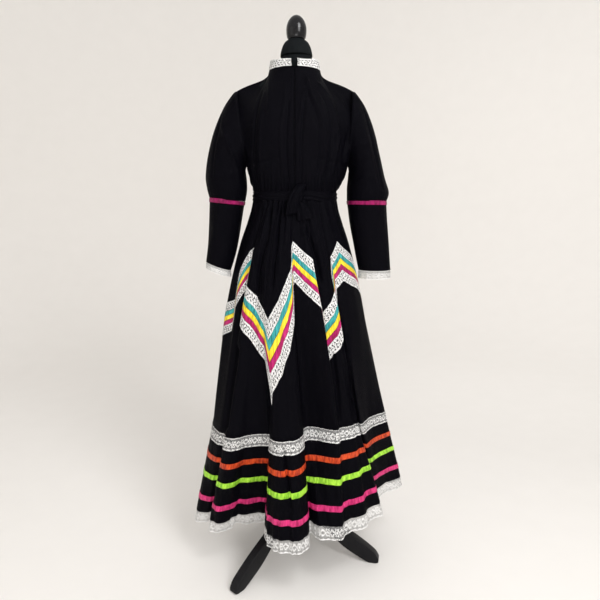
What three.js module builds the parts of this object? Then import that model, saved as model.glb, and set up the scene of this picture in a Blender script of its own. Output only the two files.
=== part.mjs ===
// A long black Jalisco folk dance dress worn by a limbless dress form on a three-legged stand.
// Millimetres, +Z up. The wearer's back, with the zip and the knotted belt, faces -Y, and +X is to
// the right of someone who looks at that back. The origin lies on the floor, at the middle of the
// dress and stand seen from above.
import * as THREE from 'three';

// ---------------------------------------------------------------- driving sizes
const CLOTH = 1.6; // wall of the black cloth
const TRIM = 1.0; // wall of lace and ribbon
const SEAM = 0.4; // clearance where two pieces are sewn together
const LIFT = 0.4; // trim lies this far off the cloth

const WAIST_Z = 1174; // seam between bodice and skirt
const HIP_Z = 1020; // above this the creases run straight down from the waist
const THIGH_Z = 820;
const SEAM_Z = 484; // seam above the flounce
const HEM_Z = 196;
const ARMPIT_Z = 1262;
const SHOULDER_Z = 1474;
const NAPE_Z = 1530;
const THROAT_Z = 1498;

// Skirt outline down to the thigh: half width and half depth of the cloth at each height.
const SKIRT_OUTLINE = [
  { z: 1174, wide: 119.5, deep: 97 },
  { z: 1135, wide: 127, deep: 106 },
  { z: 1106, wide: 139, deep: 118 },
  { z: 1045, wide: 161, deep: 131 },
  { z: 984, wide: 177, deep: 143 },
  { z: 891, wide: 199, deep: 155 },
  { z: 820, wide: 212, deep: 161 },
];

// Creases round the back of the skirt, from the wearer's left to the right, one row each. hip and
// thigh are the angles at those levels, in degrees from the middle of the back towards +X, and out
// is how far the cloth stands off the outline at the thigh. seam and hem are the crease's places
// in plan at those levels. top and bottom, where given, are corners of the zigzag trim's edges.
const BACK_CREASES = [
  { hip: -104, thigh: -105, out: -8, seam: [-258, 4], hem: [-296, 34], top: 800, bottom: 650 },
  { hip: -90, thigh: -90, out: 2, seam: [-258, -36], hem: [-318, -16], top: 842, bottom: 735 },
  { hip: -79, thigh: -76, out: 5, seam: [-253, -70], hem: [-309, -42] },
  { hip: -70, thigh: -61, out: -4, seam: [-236, -106], hem: [-290, -50], top: 874, bottom: 781 },
  { hip: -66, thigh: -57, out: 0, seam: [-223, -126], hem: [-277, -52], top: 950, bottom: 851 },
  { hip: -51, thigh: -52.5, out: -7, seam: [-210, -134], hem: [-266, -46], top: 1020, bottom: 893 },
  { hip: -47.5, thigh: -49.5, out: -12, seam: [-206, -139], hem: [-262, -58], top: 1030, bottom: 910 },
  { hip: -43.5, thigh: -46.5, out: 6, seam: [-202, -159], hem: [-264, -87], top: 923, bottom: 806 },
  { hip: -39, thigh: -42, out: 8, seam: [-184, -168], hem: [-238, -111] },
  { hip: -36, thigh: -37.5, out: 0, seam: [-161, -162], hem: [-208, -98] },
  { hip: -33, thigh: -34, out: -5, seam: [-146, -149], hem: [-180, -62] },
  { hip: -30.5, thigh: -30.5, out: -4, seam: [-128, -141], hem: [-158, -66] },
  { hip: -28, thigh: -27.5, out: -1, seam: [-104, -136], hem: [-128, -56] },
  { hip: -26, thigh: -24.8, out: 2, seam: [-74, -141], hem: [-95, -56] },
  { hip: -24, thigh: -22.8, out: 6, seam: [-74, -163], hem: [-89, -146], top: 846, bottom: 692 },
  { hip: -22, thigh: -20.5, out: 8, seam: [-60, -190], hem: [-72, -187], top: 832, bottom: 588 },
  { hip: -18, thigh: -16.5, out: 9, seam: [-38, -201], hem: [-44, -217] },
  { hip: -13.5, thigh: -12, out: 8, seam: [-15, -196], hem: [-16, -220] },
  { hip: -10.5, thigh: -9, out: 9, seam: [-7, -197], hem: [-6, -229] },
  { hip: -7.5, thigh: -5, out: 10, seam: [10, -184], hem: [22, -224], top: 945, bottom: 745 },
  { hip: -5, thigh: -1.2, out: 8, seam: [24, -154], hem: [42, -194], top: 970, bottom: 812 },
  { hip: -3.4, thigh: 0.6, out: -12, seam: [27, -112], hem: [47, -140], top: 1030, bottom: 918 },
  { hip: -1.8, thigh: 3, out: -8, seam: [38, -98], hem: [58, -160], top: 1050, bottom: 937 },
  { hip: 4, thigh: 10, out: -4, seam: [64, -102], hem: [90, -178] },
  { hip: 10, thigh: 17, out: 1, seam: [98, -121], hem: [118, -186] },
  { hip: 15.4, thigh: 23, out: 6, seam: [130, -128], hem: [141, -188], top: 1000, bottom: 862 },
  { hip: 17, thigh: 24.4, out: -13, seam: [135, -114], hem: [150, -170], top: 842, bottom: 704 },
  { hip: 18.7, thigh: 26.4, out: -10, seam: [149, -107], hem: [161, -162], top: 852, bottom: 714 },
  { hip: 23, thigh: 30, out: -7, seam: [166, -101], hem: [191, -152] },
  { hip: 27, thigh: 34, out: -4, seam: [178, -93], hem: [216, -142] },
  { hip: 30, thigh: 36.6, out: -5, seam: [184, -85], hem: [230, -116] },
  { hip: 32.2, thigh: 38.6, out: -4, seam: [192, -84], hem: [276, -80], top: 904, bottom: 761 },
  { hip: 34, thigh: 40, out: -12, seam: [195, -76], hem: [268, -14], top: 930, bottom: 830 },
  { hip: 36, thigh: 41.6, out: -1, seam: [202, -88], hem: [280, 6], top: 1004, bottom: 915 },
  { hip: 50, thigh: 46.5, out: 1, seam: [219, -62], hem: [302, 30], top: 1047, bottom: 934 },
  { hip: 58, thigh: 58, out: 2, seam: [234, -36], hem: [330, 50] },
  { hip: 71, thigh: 71, out: 3, seam: [260, -12], hem: [352, 66], top: 1005, bottom: 902 },
  { hip: 88, thigh: 88, out: 3, seam: [293, 18], hem: [370, 86], top: 950, bottom: 850 },
  { hip: 104, thigh: 104, out: -6, seam: [264, 50], hem: [326, 104], top: 838, bottom: 650 },
];

// Even folds round the front: how far their crests and valleys stand off an ellipse at each level.
const FRONT_FOLDS = {
  count: 7,
  from: 113.5,
  to: 246.5,
  crestHalf: 4,
  thigh: { crest: 6, valley: -8 },
  seam: { x: 10, wide: 270, deep: 176, turn: 5, crest: 14, valley: -22 },
  hem: { x: 22, wide: 330, deep: 200, turn: 8, crest: 30, valley: -38 },
  corners: [{ top: 1045, bottom: 935 }, { top: 835, bottom: 605 }],
};

// Bands sewn along the zigzag, from its upper edge (0) to its lower edge (1).
const ZIGZAG_BANDS = [
  { name: 'zigzag_lace_upper', from: 0, to: 0.27, colour: 0xf2f0ea, lace: true },
  { name: 'zigzag_ribbon_teal', from: 0.27, to: 0.42, colour: 0x1f9aa0 },
  { name: 'zigzag_ribbon_yellow', from: 0.42, to: 0.57, colour: 0xf2d21a },
  { name: 'zigzag_ribbon_magenta', from: 0.57, to: 0.72, colour: 0xb0145a },
  { name: 'zigzag_lace_lower', from: 0.72, to: 1, colour: 0xf2f0ea, lace: true },
];

// Bands sewn round the flounce, from its top seam (0) to its hem (1).
const FLOUNCE_BANDS = [
  { name: 'flounce_lace', from: 0, to: 0.14, colour: 0xf2f0ea },
  { name: 'flounce_ribbon_red', from: 0.29, to: 0.35, colour: 0xe23a16 },
  { name: 'flounce_ribbon_lime', from: 0.515, to: 0.575, colour: 0x9be52e },
  { name: 'flounce_ribbon_pink', from: 0.79, to: 0.852, colour: 0xe23a8c },
];
const HEM_LACE_DROP = 40;
const LEAST_EYELET_CELL = 11; // eyelets are cut only where the lace lies this wide between creases
const EYELET_SHARE = 0.42;

// Panels of skirt and flounce: the creases at which each starts and ends.
const PANELS = [
  { name: 'back_left', from: 0, to: 18 },
  { name: 'back_right', from: 18, to: 38 },
  { name: 'front_right', from: 38, to: 49 },
  { name: 'front_left', from: 49, to: 60 },
];

// Bodice outline: half width at the side, how far the whole lies towards +X there, and how far the
// back and the front stand out.
const BODICE_OUTLINE = [
  { z: 1174, wide: 119.5, aside: 0, back: 97, front: 97 },
  { z: 1190, wide: 121.5, aside: 0, back: 99, front: 99 },
  { z: 1208, wide: 135, aside: 5, back: 108, front: 106 },
  { z: 1250, wide: 149, aside: 7, back: 116, front: 118 },
  { z: 1290, wide: 152, aside: 6, back: 120, front: 132 },
  { z: 1350, wide: 157, aside: 4, back: 120, front: 138 },
  { z: 1420, wide: 165, aside: 1.8, back: 112, front: 118 },
  { z: 1474, wide: 172, aside: 0, back: 96, front: 92 },
  { z: 1530, wide: 172, aside: 0, back: 62, front: 60 },
];
const BODICE_ROWS = [0, 0.045, 0.1, 0.22, 0.37, 0.55, 0.72, 0.87, 1];
const NECK = { wide: 74, deep: 63 };
const NECK_STEP = 22.5; // degrees between the points of the neckline
const SHOULDER_X = 172;
const SHOULDER_DIP = 10; // how far the shoulder seam sags below a straight line, beside the collar
const ARMHOLE_DEEP = 62;
const ARMHOLE_EASE = 60; // height over the armpit in which the sides come to face back and front

// Sleeve sections: the inner and outer points of each ring in the XZ plane, and its half depth.
const SLEEVES = {
  right: {
    side: 1,
    upper: [
      { inX: 158.6, inZ: 1262, outX: 172.8, outZ: 1474, deep: 62 },
      { inX: 159.6, inZ: 1258, outX: 204, outZ: 1432, deep: 67 },
      { inX: 160, inZ: 1252, outX: 231, outZ: 1370, deep: 69 },
      { inX: 160, inZ: 1242, outX: 251, outZ: 1298, deep: 67 },
      { inX: 159, inZ: 1224, outX: 267, outZ: 1232, deep: 64 },
      { inX: 156, inZ: 1196, outX: 281, outZ: 1188, deep: 62 },
      { inX: 157, inZ: 1164, outX: 274, outZ: 1162, deep: 56 },
    ],
    lower: [
      { inX: 157, inZ: 1163, outX: 274, outZ: 1161, deep: 56 },
      { inX: 166, inZ: 1085, outX: 280, outZ: 1085, deep: 51 },
      { inX: 181, inZ: 1015, outX: 287, outZ: 1015, deep: 46 },
      { inX: 195, inZ: 955, outX: 293, outZ: 955, deep: 42 },
    ],
    lace: { drop: 25 },
  },
  left: {
    side: -1,
    upper: [
      { inX: 144.6, inZ: 1262, outX: 172.8, outZ: 1474, deep: 62 },
      { inX: 145.6, inZ: 1258, outX: 206, outZ: 1430, deep: 66 },
      { inX: 146, inZ: 1251, outX: 236, outZ: 1366, deep: 68 },
      { inX: 145.5, inZ: 1240, outX: 256, outZ: 1294, deep: 67 },
      { inX: 144, inZ: 1220, outX: 265, outZ: 1234, deep: 64 },
      { inX: 144, inZ: 1192, outX: 262, outZ: 1198, deep: 61 },
      { inX: 150, inZ: 1162, outX: 255, outZ: 1168, deep: 54 },
    ],
    lower: [
      { inX: 151, inZ: 1161, outX: 255, outZ: 1167, deep: 54 },
      { inX: 164, inZ: 1084, outX: 260, outZ: 1092, deep: 49 },
      { inX: 180, inZ: 1012, outX: 266, outZ: 1030, deep: 44 },
      { inX: 197, inZ: 954, outX: 272, outZ: 981, deep: 40 },
    ],
    lace: { drop: 20 },
  },
};
const SLEEVE_SIDES = 16;
const SLEEVE_RIBBON = 15;

// Dress form: half width, half depth and middle of the padded body at each height. point narrows
// a section towards its two sides, as at the shoulders.
const FORM_OUTLINE = [
  { z: 868, wide: 128, deep: 88, y: 0, point: 0 },
  { z: 890, wide: 136, deep: 94, y: 0, point: 0 },
  { z: 960, wide: 142, deep: 102, y: -4, point: 0 },
  { z: 1040, wide: 130, deep: 96, y: -2, point: 0 },
  { z: 1110, wide: 112, deep: 84, y: 0, point: 0 },
  { z: 1180, wide: 106, deep: 80, y: 2, point: 0 },
  { z: 1260, wide: 124, deep: 92, y: 6, point: 0 },
  { z: 1345, wide: 138, deep: 100, y: 10, point: 0 },
  { z: 1410, wide: 143, deep: 84, y: 2, point: 0.2 },
  { z: 1456, wide: 141, deep: 68, y: 0, point: 1.4 },
  { z: 1486, wide: 135, deep: 54, y: 0, point: 3 },
  { z: 1498.5, wide: 108, deep: 50, y: 0, point: 3 },
  { z: 1514, wide: 76, deep: 43, y: 0, point: 2 },
  { z: 1534, wide: 50, deep: 44, y: 0, point: 0 },
  { z: 1570, wide: 46, deep: 43, y: 0, point: 0 },
];
const FORM_SIDES = 16;
const NECK_LEAN = 5; // the neck, its cap and the finial stand this far towards +X
const FORM_TOP_Z = 1570;
const FINIAL_TOP_Z = 1682;

const STAND = { poleRadius: 13, hubTop: 226, hubBottom: 150, hubRadius: 30, legThick: 28, legReach: 279 };
const LEG_ANGLES = [-42, 78, 198]; // degrees from the middle of the back towards +X

const BLACK_CLOTH = 0x0b0b0d;
const WHITE_LACE = 0xf2f0ea;
const MAGENTA = 0xb5105c;
const BLACK_GLOSS = 0x101012;

// ---------------------------------------------------------------- small helpers
const lerp = THREE.MathUtils.lerp;
const clamp = THREE.MathUtils.clamp;
const radians = THREE.MathUtils.degToRad;
const model = new THREE.Group();

// Reads a column of a table by height, straight between its rows. The table runs up or down.
function atHeight(table, z, column) {
  const rising = table[table.length - 1].z > table[0].z;
  const rows = rising ? table : [...table].reverse();
  if (z <= rows[0].z) return rows[0][column];
  for (let i = 1; i < rows.length; i += 1) {
    if (z <= rows[i].z) {
      const share = (z - rows[i - 1].z) / (rows[i].z - rows[i - 1].z);
      return lerp(rows[i - 1][column], rows[i][column], share);
    }
  }
  return rows[rows.length - 1][column];
}

// A closed mesh from points and triangles, turned so that its faces point out.
function solid(points, triangles) {
  let volume = 0;
  for (const [a, b, c] of triangles) {
    volume += points[a].dot(new THREE.Vector3().crossVectors(points[b], points[c]));
  }
  const faces = volume < 0 ? triangles.map(([a, b, c]) => [a, c, b]) : triangles;
  const geometry = new THREE.BufferGeometry();
  geometry.setAttribute('position', new THREE.Float32BufferAttribute(points.flatMap((p) => p.toArray()), 3));
  geometry.setIndex(faces.flat());
  geometry.computeVertexNormals();
  return geometry;
}

function addPiece(name, geometry, colour, roughness = 0.8, metalness = 0) {
  const material = new THREE.MeshStandardMaterial({ color: colour, roughness, metalness });
  const mesh = new THREE.Mesh(geometry, material);
  mesh.name = name;
  model.add(mesh);
  return mesh;
}

// Directions in which each point of a grid is moved out, long enough for the faces between the
// points to move by 1. level keeps them horizontal.
function outwardDirections(rows, ring, outside, level = false) {
  const last = rows.length - 1;
  const count = rows[0].length;
  let facing = 0;
  const directions = rows.map((row, r) =>
    row.map((point, c) => {
      const faces = [];
      for (const dr of [-1, 1]) {
        for (const dc of [-1, 1]) {
          const r2 = r + dr;
          const c2 = ring ? (c + dc + count) % count : c + dc;
          if (r2 >= 0 && r2 <= last && c2 >= 0 && c2 < count) {
            const along = rows[r][c2].clone().sub(point).multiplyScalar(dc);
            const down = rows[r2][c].clone().sub(point).multiplyScalar(dr);
            const face = along.cross(down);
            if (level) face.z = 0;
            if (face.lengthSq() > 1e-9) faces.push(face.normalize());
          }
        }
      }
      const sum = faces.reduce((total, face) => total.add(face), new THREE.Vector3()).normalize();
      facing += sum.dot(outside(point));
      const least = Math.min(...faces.map((face) => face.dot(sum)));
      return sum.multiplyScalar(1 / Math.max(0.55, least));
    }),
  );
  if (facing < 0) directions.flat().forEach((direction) => direction.negate());
  return directions;
}

// A cloth wall between two offsets of a grid of points. ring closes it round its columns. Each cell
// is two flat triangles, and gap(r, c), from 0 to 1, is the size of a hole through the lower one.
function clothWall({ rows, directions, inner, outer, ring = true, gap = () => 0 }) {
  const count = rows[0].length;
  const points = [];
  const place = (offset) =>
    rows.map((row, r) =>
      row.map((point, c) => {
        points.push(point.clone().addScaledVector(directions[r][c], offset));
        return points.length - 1;
      }),
    );
  const skins = [place(outer), place(inner)];
  const triangles = [];
  const add = (corners, flip) => triangles.push(flip ? [...corners].reverse() : corners);
  const quad = (a, b, c, d, flip) => {
    add([a, b, c], flip);
    add([a, c, d], flip);
  };
  const addHole = (faces, size) => {
    const rims = faces.map((face) =>
      face.map((corner) => {
        const middle = face.reduce((sum, i) => sum.add(points[i]), new THREE.Vector3()).divideScalar(3);
        points.push(middle.lerp(points[corner], size));
        return points.length - 1;
      }),
    );
    for (let k = 0; k < 3; k += 1) {
      const k2 = (k + 1) % 3;
      faces.forEach((face, side) => quad(face[k], face[k2], rims[side][k2], rims[side][k], side === 1));
      quad(rims[0][k], rims[0][k2], rims[1][k2], rims[1][k], false);
    }
  };
  const cells = ring ? count : count - 1;
  for (let r = 0; r < rows.length - 1; r += 1) {
    for (let c = 0; c < cells; c += 1) {
      const next = (c + 1) % count;
      const size = gap(r, c);
      skins.forEach((skin, side) => add([skin[r][c], skin[r][next], skin[r + 1][next]], side === 1));
      const lower = skins.map((skin) => [skin[r][c], skin[r + 1][next], skin[r + 1][c]]);
      if (size > 0) addHole(lower, size);
      else lower.forEach((face, side) => add(face, side === 1));
    }
  }
  const bottom = rows.length - 1;
  for (let c = 0; c < cells; c += 1) {
    const next = (c + 1) % count;
    quad(skins[0][0][c], skins[0][0][next], skins[1][0][next], skins[1][0][c], true);
    quad(skins[0][bottom][c], skins[0][bottom][next], skins[1][bottom][next], skins[1][bottom][c], false);
  }
  if (!ring) {
    const end = count - 1;
    for (let r = 0; r < bottom; r += 1) {
      quad(skins[0][r][0], skins[0][r + 1][0], skins[1][r + 1][0], skins[1][r][0], false);
      quad(skins[0][r][end], skins[0][r + 1][end], skins[1][r + 1][end], skins[1][r][end], true);
    }
  }
  return solid(points, triangles);
}

// A closed body through rings of points, with a flat cap on each end.
function loft(rings) {
  const count = rings[0].length;
  const points = rings.flat();
  const triangles = [];
  for (let r = 0; r < rings.length - 1; r += 1) {
    for (let c = 0; c < count; c += 1) {
      const a = r * count + c;
      const b = r * count + ((c + 1) % count);
      triangles.push([a, b, b + count], [a, b + count, a + count]);
    }
  }
  for (const [start, flip] of [[0, true], [(rings.length - 1) * count, false]]) {
    for (let c = 1; c < count - 1; c += 1) {
      const face = [start, start + c, start + c + 1];
      triangles.push(flip ? [face[0], face[2], face[1]] : face);
    }
  }
  return solid(points, triangles);
}

const fromAxis = (point) => new THREE.Vector3(point.x, point.y, 0);

// ---------------------------------------------------------------- skirt surface
// The front's creases, three for each fold: the crest's two edges and the valley after it.
function frontCreases() {
  const { count, from, to, crestHalf, thigh, corners } = FRONT_FOLDS;
  const step = (to - from) / count;
  const place = (level, angle, out) => {
    const plan = new THREE.Vector3(
      (level.wide + out) * Math.sin(radians(angle)),
      -(level.deep + out) * Math.cos(radians(angle)),
      0,
    );
    plan.applyAxisAngle(new THREE.Vector3(0, 0, 1), radians(level.turn));
    return [plan.x + level.x, plan.y];
  };
  const crease = (angle, kind) => ({
    hip: angle,
    thigh: angle,
    out: thigh[kind],
    seam: place(FRONT_FOLDS.seam, angle, FRONT_FOLDS.seam[kind]),
    hem: place(FRONT_FOLDS.hem, angle, FRONT_FOLDS.hem[kind]),
  });
  return Array.from({ length: count }, (unused, i) => {
    const middle = from + step * (i + 0.5);
    return [
      { ...crease(middle - crestHalf, 'crest'), ...corners[i % 2] },
      crease(middle + crestHalf, 'crest'),
      crease(middle + step / 2, 'valley'),
    ];
  }).flat();
}

const CREASES = [...BACK_CREASES, ...frontCreases()];

// The point of a crease at a height: on the outline above the thigh, and straight between its
// places at the thigh, the flounce's seam and the hem below.
function skirtPoint(crease, z) {
  const level = Math.max(z, THIGH_Z);
  const angle = radians(lerp(crease.hip, crease.thigh, clamp((HIP_Z - level) / (HIP_Z - THIGH_Z), 0, 1)));
  const wide = atHeight(SKIRT_OUTLINE, level, 'wide');
  const deep = atHeight(SKIRT_OUTLINE, level, 'deep');
  const point = new THREE.Vector3(wide * Math.sin(angle), -deep * Math.cos(angle), z);
  const outward = new THREE.Vector3(Math.sin(angle) / wide, -Math.cos(angle) / deep, 0).normalize();
  point.addScaledVector(outward, (crease.out * (WAIST_Z - level)) / (WAIST_Z - THIGH_Z));
  if (z >= THIGH_Z) return point;
  const seam = new THREE.Vector3(...crease.seam, z);
  if (z >= SEAM_Z) return point.lerp(seam, (THIGH_Z - z) / (THIGH_Z - SEAM_Z));
  return seam.lerp(new THREE.Vector3(...crease.hem, z), (SEAM_Z - z) / (SEAM_Z - HEM_Z));
}

// Heights of the seam above the flounce and of the black hem, which ride up towards +X.
const bearing = (crease) => Math.atan2(crease.hem[0], -crease.hem[1]);
const seamZ = (crease) => SEAM_Z + 6 * Math.sin(bearing(crease));
const hemZ = (crease) => HEM_Z + 2 + 30 * Math.sin(bearing(crease)) - 10 * Math.cos(bearing(crease));

// Height of the zigzag's upper or lower edge on each crease, straight between its corners.
function zigzagHeights(edge) {
  const corners = CREASES.map((crease, c) => ({ at: c, z: crease[edge] })).filter((corner) => corner.z);
  corners.push({ at: CREASES.length, z: corners[0].z });
  return CREASES.map((crease, c) => {
    const k = corners.findIndex((corner) => corner.at > c);
    const [before, after] = [corners[k - 1], corners[k]];
    return lerp(before.z, after.z, (c - before.at) / (after.at - before.at));
  });
}

const zigzagTop = zigzagHeights('top');
const zigzagBottom = zigzagHeights('bottom');
const zigzagZ = (c, share) => lerp(zigzagTop[c], zigzagBottom[c], share);
const rowOf = (heightOf) => CREASES.map((crease, c) => skirtPoint(crease, heightOf(crease, c)));

const zigzagShares = [0, 0.27, 0.42, 0.57, 0.72, 1];
const skirtRows = [
  rowOf(() => WAIST_Z),
  ...[0.3, 0.64].map((share) => rowOf((crease, c) => lerp(WAIST_Z, zigzagTop[c], share))),
  ...zigzagShares.map((share) => rowOf((crease, c) => zigzagZ(c, share))),
  ...[0.34, 0.68].map((share) => rowOf((crease, c) => lerp(zigzagBottom[c], seamZ(crease), share))),
  rowOf(seamZ),
];
const skirtDirections = outwardDirections(skirtRows, true, fromAxis, true);

const flounceShares = [0, 0.14, 0.29, 0.35, 0.515, 0.575, 0.79, 0.852, 1];
const flounceRows = flounceShares.map((share) =>
  rowOf((crease) => lerp(seamZ(crease) - SEAM, hemZ(crease), share)),
);
const flounceDirections = outwardDirections(flounceRows, true, fromAxis, true);

const toward = (point, other) => other.clone().sub(point).normalize();

// The columns of one panel out of a ring, its two cut edges drawn in from the seams.
function panelOf(rows, directions, panel) {
  const count = rows[0].length;
  const picked = [];
  for (let c = panel.from; c <= panel.to; c += 1) picked.push(c % count);
  const drawIn = (row) => {
    const points = picked.map((c) => row[c].clone());
    const end = points.length - 1;
    points[0].addScaledVector(toward(points[0], row[picked[1]]), SEAM);
    points[end].addScaledVector(toward(points[end], row[picked[end - 1]]), SEAM);
    return points;
  };
  return { rows: rows.map(drawIn), directions: directions.map((row) => picked.map((c) => row[c])) };
}

for (const panel of PANELS) {
  const skirt = panelOf(skirtRows, skirtDirections, panel);
  addPiece(`skirt_${panel.name}`, clothWall({ ...skirt, inner: -CLOTH, outer: 0, ring: false }), BLACK_CLOTH);
  const flounce = panelOf(flounceRows, flounceDirections, panel);
  addPiece(`flounce_${panel.name}`, clothWall({ ...flounce, inner: -CLOTH, outer: 0, ring: false }), BLACK_CLOTH);
}

// A band sewn on a ring of rows: the rows that it covers, moved out, its edges drawn in a little.
function addBand(band, rows, directions, shares, firstRow) {
  const start = firstRow + shares.indexOf(band.from);
  const end = firstRow + shares.indexOf(band.to);
  const covered = rows.slice(start, end + 1).map((row) => row.map((point) => point.clone()));
  covered[0].forEach((point, c) => point.addScaledVector(toward(point, covered[1][c]), SEAM / 2));
  const last = covered.length - 1;
  covered[last].forEach((point, c) => point.addScaledVector(toward(point, rows[end - 1][c]), SEAM / 2));
  const gap = (r, c) => {
    const width = covered[r][c].distanceTo(covered[r][(c + 1) % covered[r].length]);
    return band.lace && width > LEAST_EYELET_CELL ? EYELET_SHARE : 0;
  };
  const shape = { rows: covered, directions: directions.slice(start, end + 1), inner: LIFT, outer: LIFT + TRIM, gap };
  addPiece(band.name, clothWall(shape), band.colour, 0.5);
}

ZIGZAG_BANDS.forEach((band) => addBand(band, skirtRows, skirtDirections, zigzagShares, 3));
FLOUNCE_BANDS.forEach((band) => addBand(band, flounceRows, flounceDirections, flounceShares, 0));

// Lace hung from the flounce's hem, one length for each panel.
const hemLaceRows = [SEAM, HEM_LACE_DROP].map((drop) => rowOf((crease) => hemZ(crease) - drop));
const hemLaceDirections = outwardDirections(hemLaceRows, true, fromAxis, true);
for (const panel of PANELS) {
  const lace = panelOf(hemLaceRows, hemLaceDirections, panel);
  addPiece(`hem_lace_${panel.name}`, clothWall({ ...lace, inner: -TRIM, outer: 0, ring: false }), WHITE_LACE);
}

// ---------------------------------------------------------------- bodice
// Height of a bodice row at a share across from the middle (0) to the side (1): its top follows
// the neckline, then the shoulder seam.
function bodiceTop(x, middleZ) {
  const half = Math.abs(x);
  if (half < NECK.wide) return lerp(middleZ, NAPE_Z - 2, (half / NECK.wide) ** 2);
  const along = Math.min((half - NECK.wide) / (SHOULDER_X - NECK.wide), 1);
  const sag = 1.33 * (1 - along) * Math.sin(Math.PI * Math.sqrt(along));
  return lerp(NAPE_Z - 2, SHOULDER_Z, along) - SHOULDER_DIP * sag;
}

// Depth of the armhole's edge at a height, 0 below the armpit and at the shoulder.
function armholeY(z) {
  const share = (z - ARMPIT_Z) / (SHOULDER_Z - ARMPIT_Z);
  if (share <= 0 || share >= 1) return 0;
  return ARMHOLE_DEEP * Math.sqrt(1 - (2 * share - 1) ** 2);
}

// Columns of half a bodice, from the middle to the side: the share across below the neck, and the
// point that the column reaches on the neckline or the shoulder seam.
const BODICE_COLUMNS = [0, 0.13, 0.27, 0.41, 0.55, 0.7, 0.86, 1].map((across, k) => {
  const turn = radians(Math.min(k * NECK_STEP, 90));
  const alongShoulder = Math.max(0, (k - 4) / 3);
  const topX = k < 4 ? NECK.wide * Math.sin(turn) : lerp(NECK.wide, SHOULDER_X, alongShoulder);
  return { across, topX, topY: Math.max(NECK.deep * Math.cos(turn), SEAM) };
});

// facing is -1 for the back and 1 for the front.
function bodicePoint(share, { across, topX, topY }, facing, side) {
  const column = facing < 0 ? 'back' : 'front';
  const middleZ = facing < 0 ? NAPE_Z : THROAT_Z;
  const edgeZ = lerp(WAIST_Z + SEAM, SHOULDER_Z, share);
  const edgeX = atHeight(BODICE_OUTLINE, edgeZ, 'wide');
  const edgeY = Math.max(armholeY(edgeZ), SEAM);
  const bulge = atHeight(BODICE_OUTLINE, lerp(WAIST_Z + SEAM, middleZ, share), column);
  const turn = across * Math.PI * 0.5;
  const closing = clamp((share - 0.6) / 0.4, 0, 1) ** 2;
  const sideways = Math.sin(turn) ** 0.9;
  const round = Math.cos(turn) ** 0.9;
  const level = Math.cos(Math.PI * 0.5 * sideways ** 2.5) ** 2; // runs on flat into the sleeve
  const bow = lerp(round, level, clamp((edgeZ - ARMPIT_Z) / ARMHOLE_EASE, 0, 1));
  const x = lerp(edgeX * sideways, topX, closing);
  const y = lerp(edgeY + (bulge - edgeY) * bow, topY, closing);
  const aside = atHeight(BODICE_OUTLINE, edgeZ, 'aside') * sideways * (1 - closing);
  return new THREE.Vector3(side * x + aside, facing * y, lerp(WAIST_Z + SEAM, bodiceTop(x, middleZ), share));
}

const ZIP_HALF = 3;

function bodiceHalf(facing, side) {
  return BODICE_ROWS.map((share) =>
    BODICE_COLUMNS.map((column) => bodicePoint(share, column, facing, side)),
  );
}

// Directions for a bodice piece, kept off its neighbours at the side, shoulder and zip seams.
function bodiceDirections(rows) {
  const directions = outwardDirections(rows, false, fromAxis);
  rows.forEach((row, r) =>
    row.forEach((point, c) => {
      if (Math.abs(point.y) < 1) directions[r][c].setY(0).setLength(1.15);
      if (Math.abs(point.x) < 5) directions[r][c].setX(0);
    }),
  );
  return directions;
}

for (const [name, side] of [['left', -1], ['right', 1]]) {
  const rows = bodiceHalf(-1, side);
  rows.forEach((row) => row[0].setX(side * (ZIP_HALF + SEAM)));
  const directions = bodiceDirections(rows);
  addPiece(`bodice_back_${name}`, clothWall({ rows, directions, inner: -CLOTH, outer: 0, ring: false }), BLACK_CLOTH);
}

const frontLeft = bodiceHalf(1, -1).map((row) => row.reverse());
const frontRows = bodiceHalf(1, 1).map((row, r) => [...frontLeft[r], ...row.slice(1)]);
const frontDirections = bodiceDirections(frontRows);
addPiece(
  'bodice_front',
  clothWall({ rows: frontRows, directions: frontDirections, inner: -CLOTH, outer: 0, ring: false }),
  BLACK_CLOTH,
);

// ---------------------------------------------------------------- zip
// The closed chain fills the slit between the two halves of the back.
const zipRows = BODICE_ROWS.map((share) =>
  [-1, 1].map((side) => bodicePoint(share, BODICE_COLUMNS[0], -1, 1).setX(side * ZIP_HALF)),
);
const zipDirections = zipRows.map((row) => row.map(() => new THREE.Vector3(0, -1, 0)));
addPiece('zip_chain', clothWall({ rows: zipRows, directions: zipDirections, inner: -1.4, outer: 0.4, ring: false }), BLACK_CLOTH, 0.5);

// ---------------------------------------------------------------- collar
const COLLAR_HIGH = 27.5;
const COLLAR_DIP = 7.8; // how much lower it stands at the back
const COLLAR_OPEN = 6.2; // degrees from the zip to each half's end

// How high the collar stands at an angle from the zip; each half's corner lifts a little.
function collarHeight(angle) {
  return COLLAR_HIGH - COLLAR_DIP * Math.exp(-((angle / 0.75) ** 2)) + 3 * Math.exp(-((angle / 0.13) ** 2));
}

// One half of the stand collar, from the zip to the middle of the front.
function collarRows(side, lowShare, highShare, startDegrees) {
  return [lowShare, highShare].map((share) =>
    Array.from({ length: 9 }, (unused, i) => {
      const angle = radians(clamp(i * NECK_STEP, startDegrees, 179.7));
      const lean = 1 - 0.05 * share;
      const x = side * NECK.wide * lean * Math.sin(angle);
      const y = -NECK.deep * lean * Math.cos(angle);
      const foot = bodiceTop(NECK.wide * Math.sin(angle), y < 0 ? NAPE_Z : THROAT_Z) + SEAM;
      return new THREE.Vector3(x, y, foot + share * collarHeight(angle));
    }),
  );
}

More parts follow.
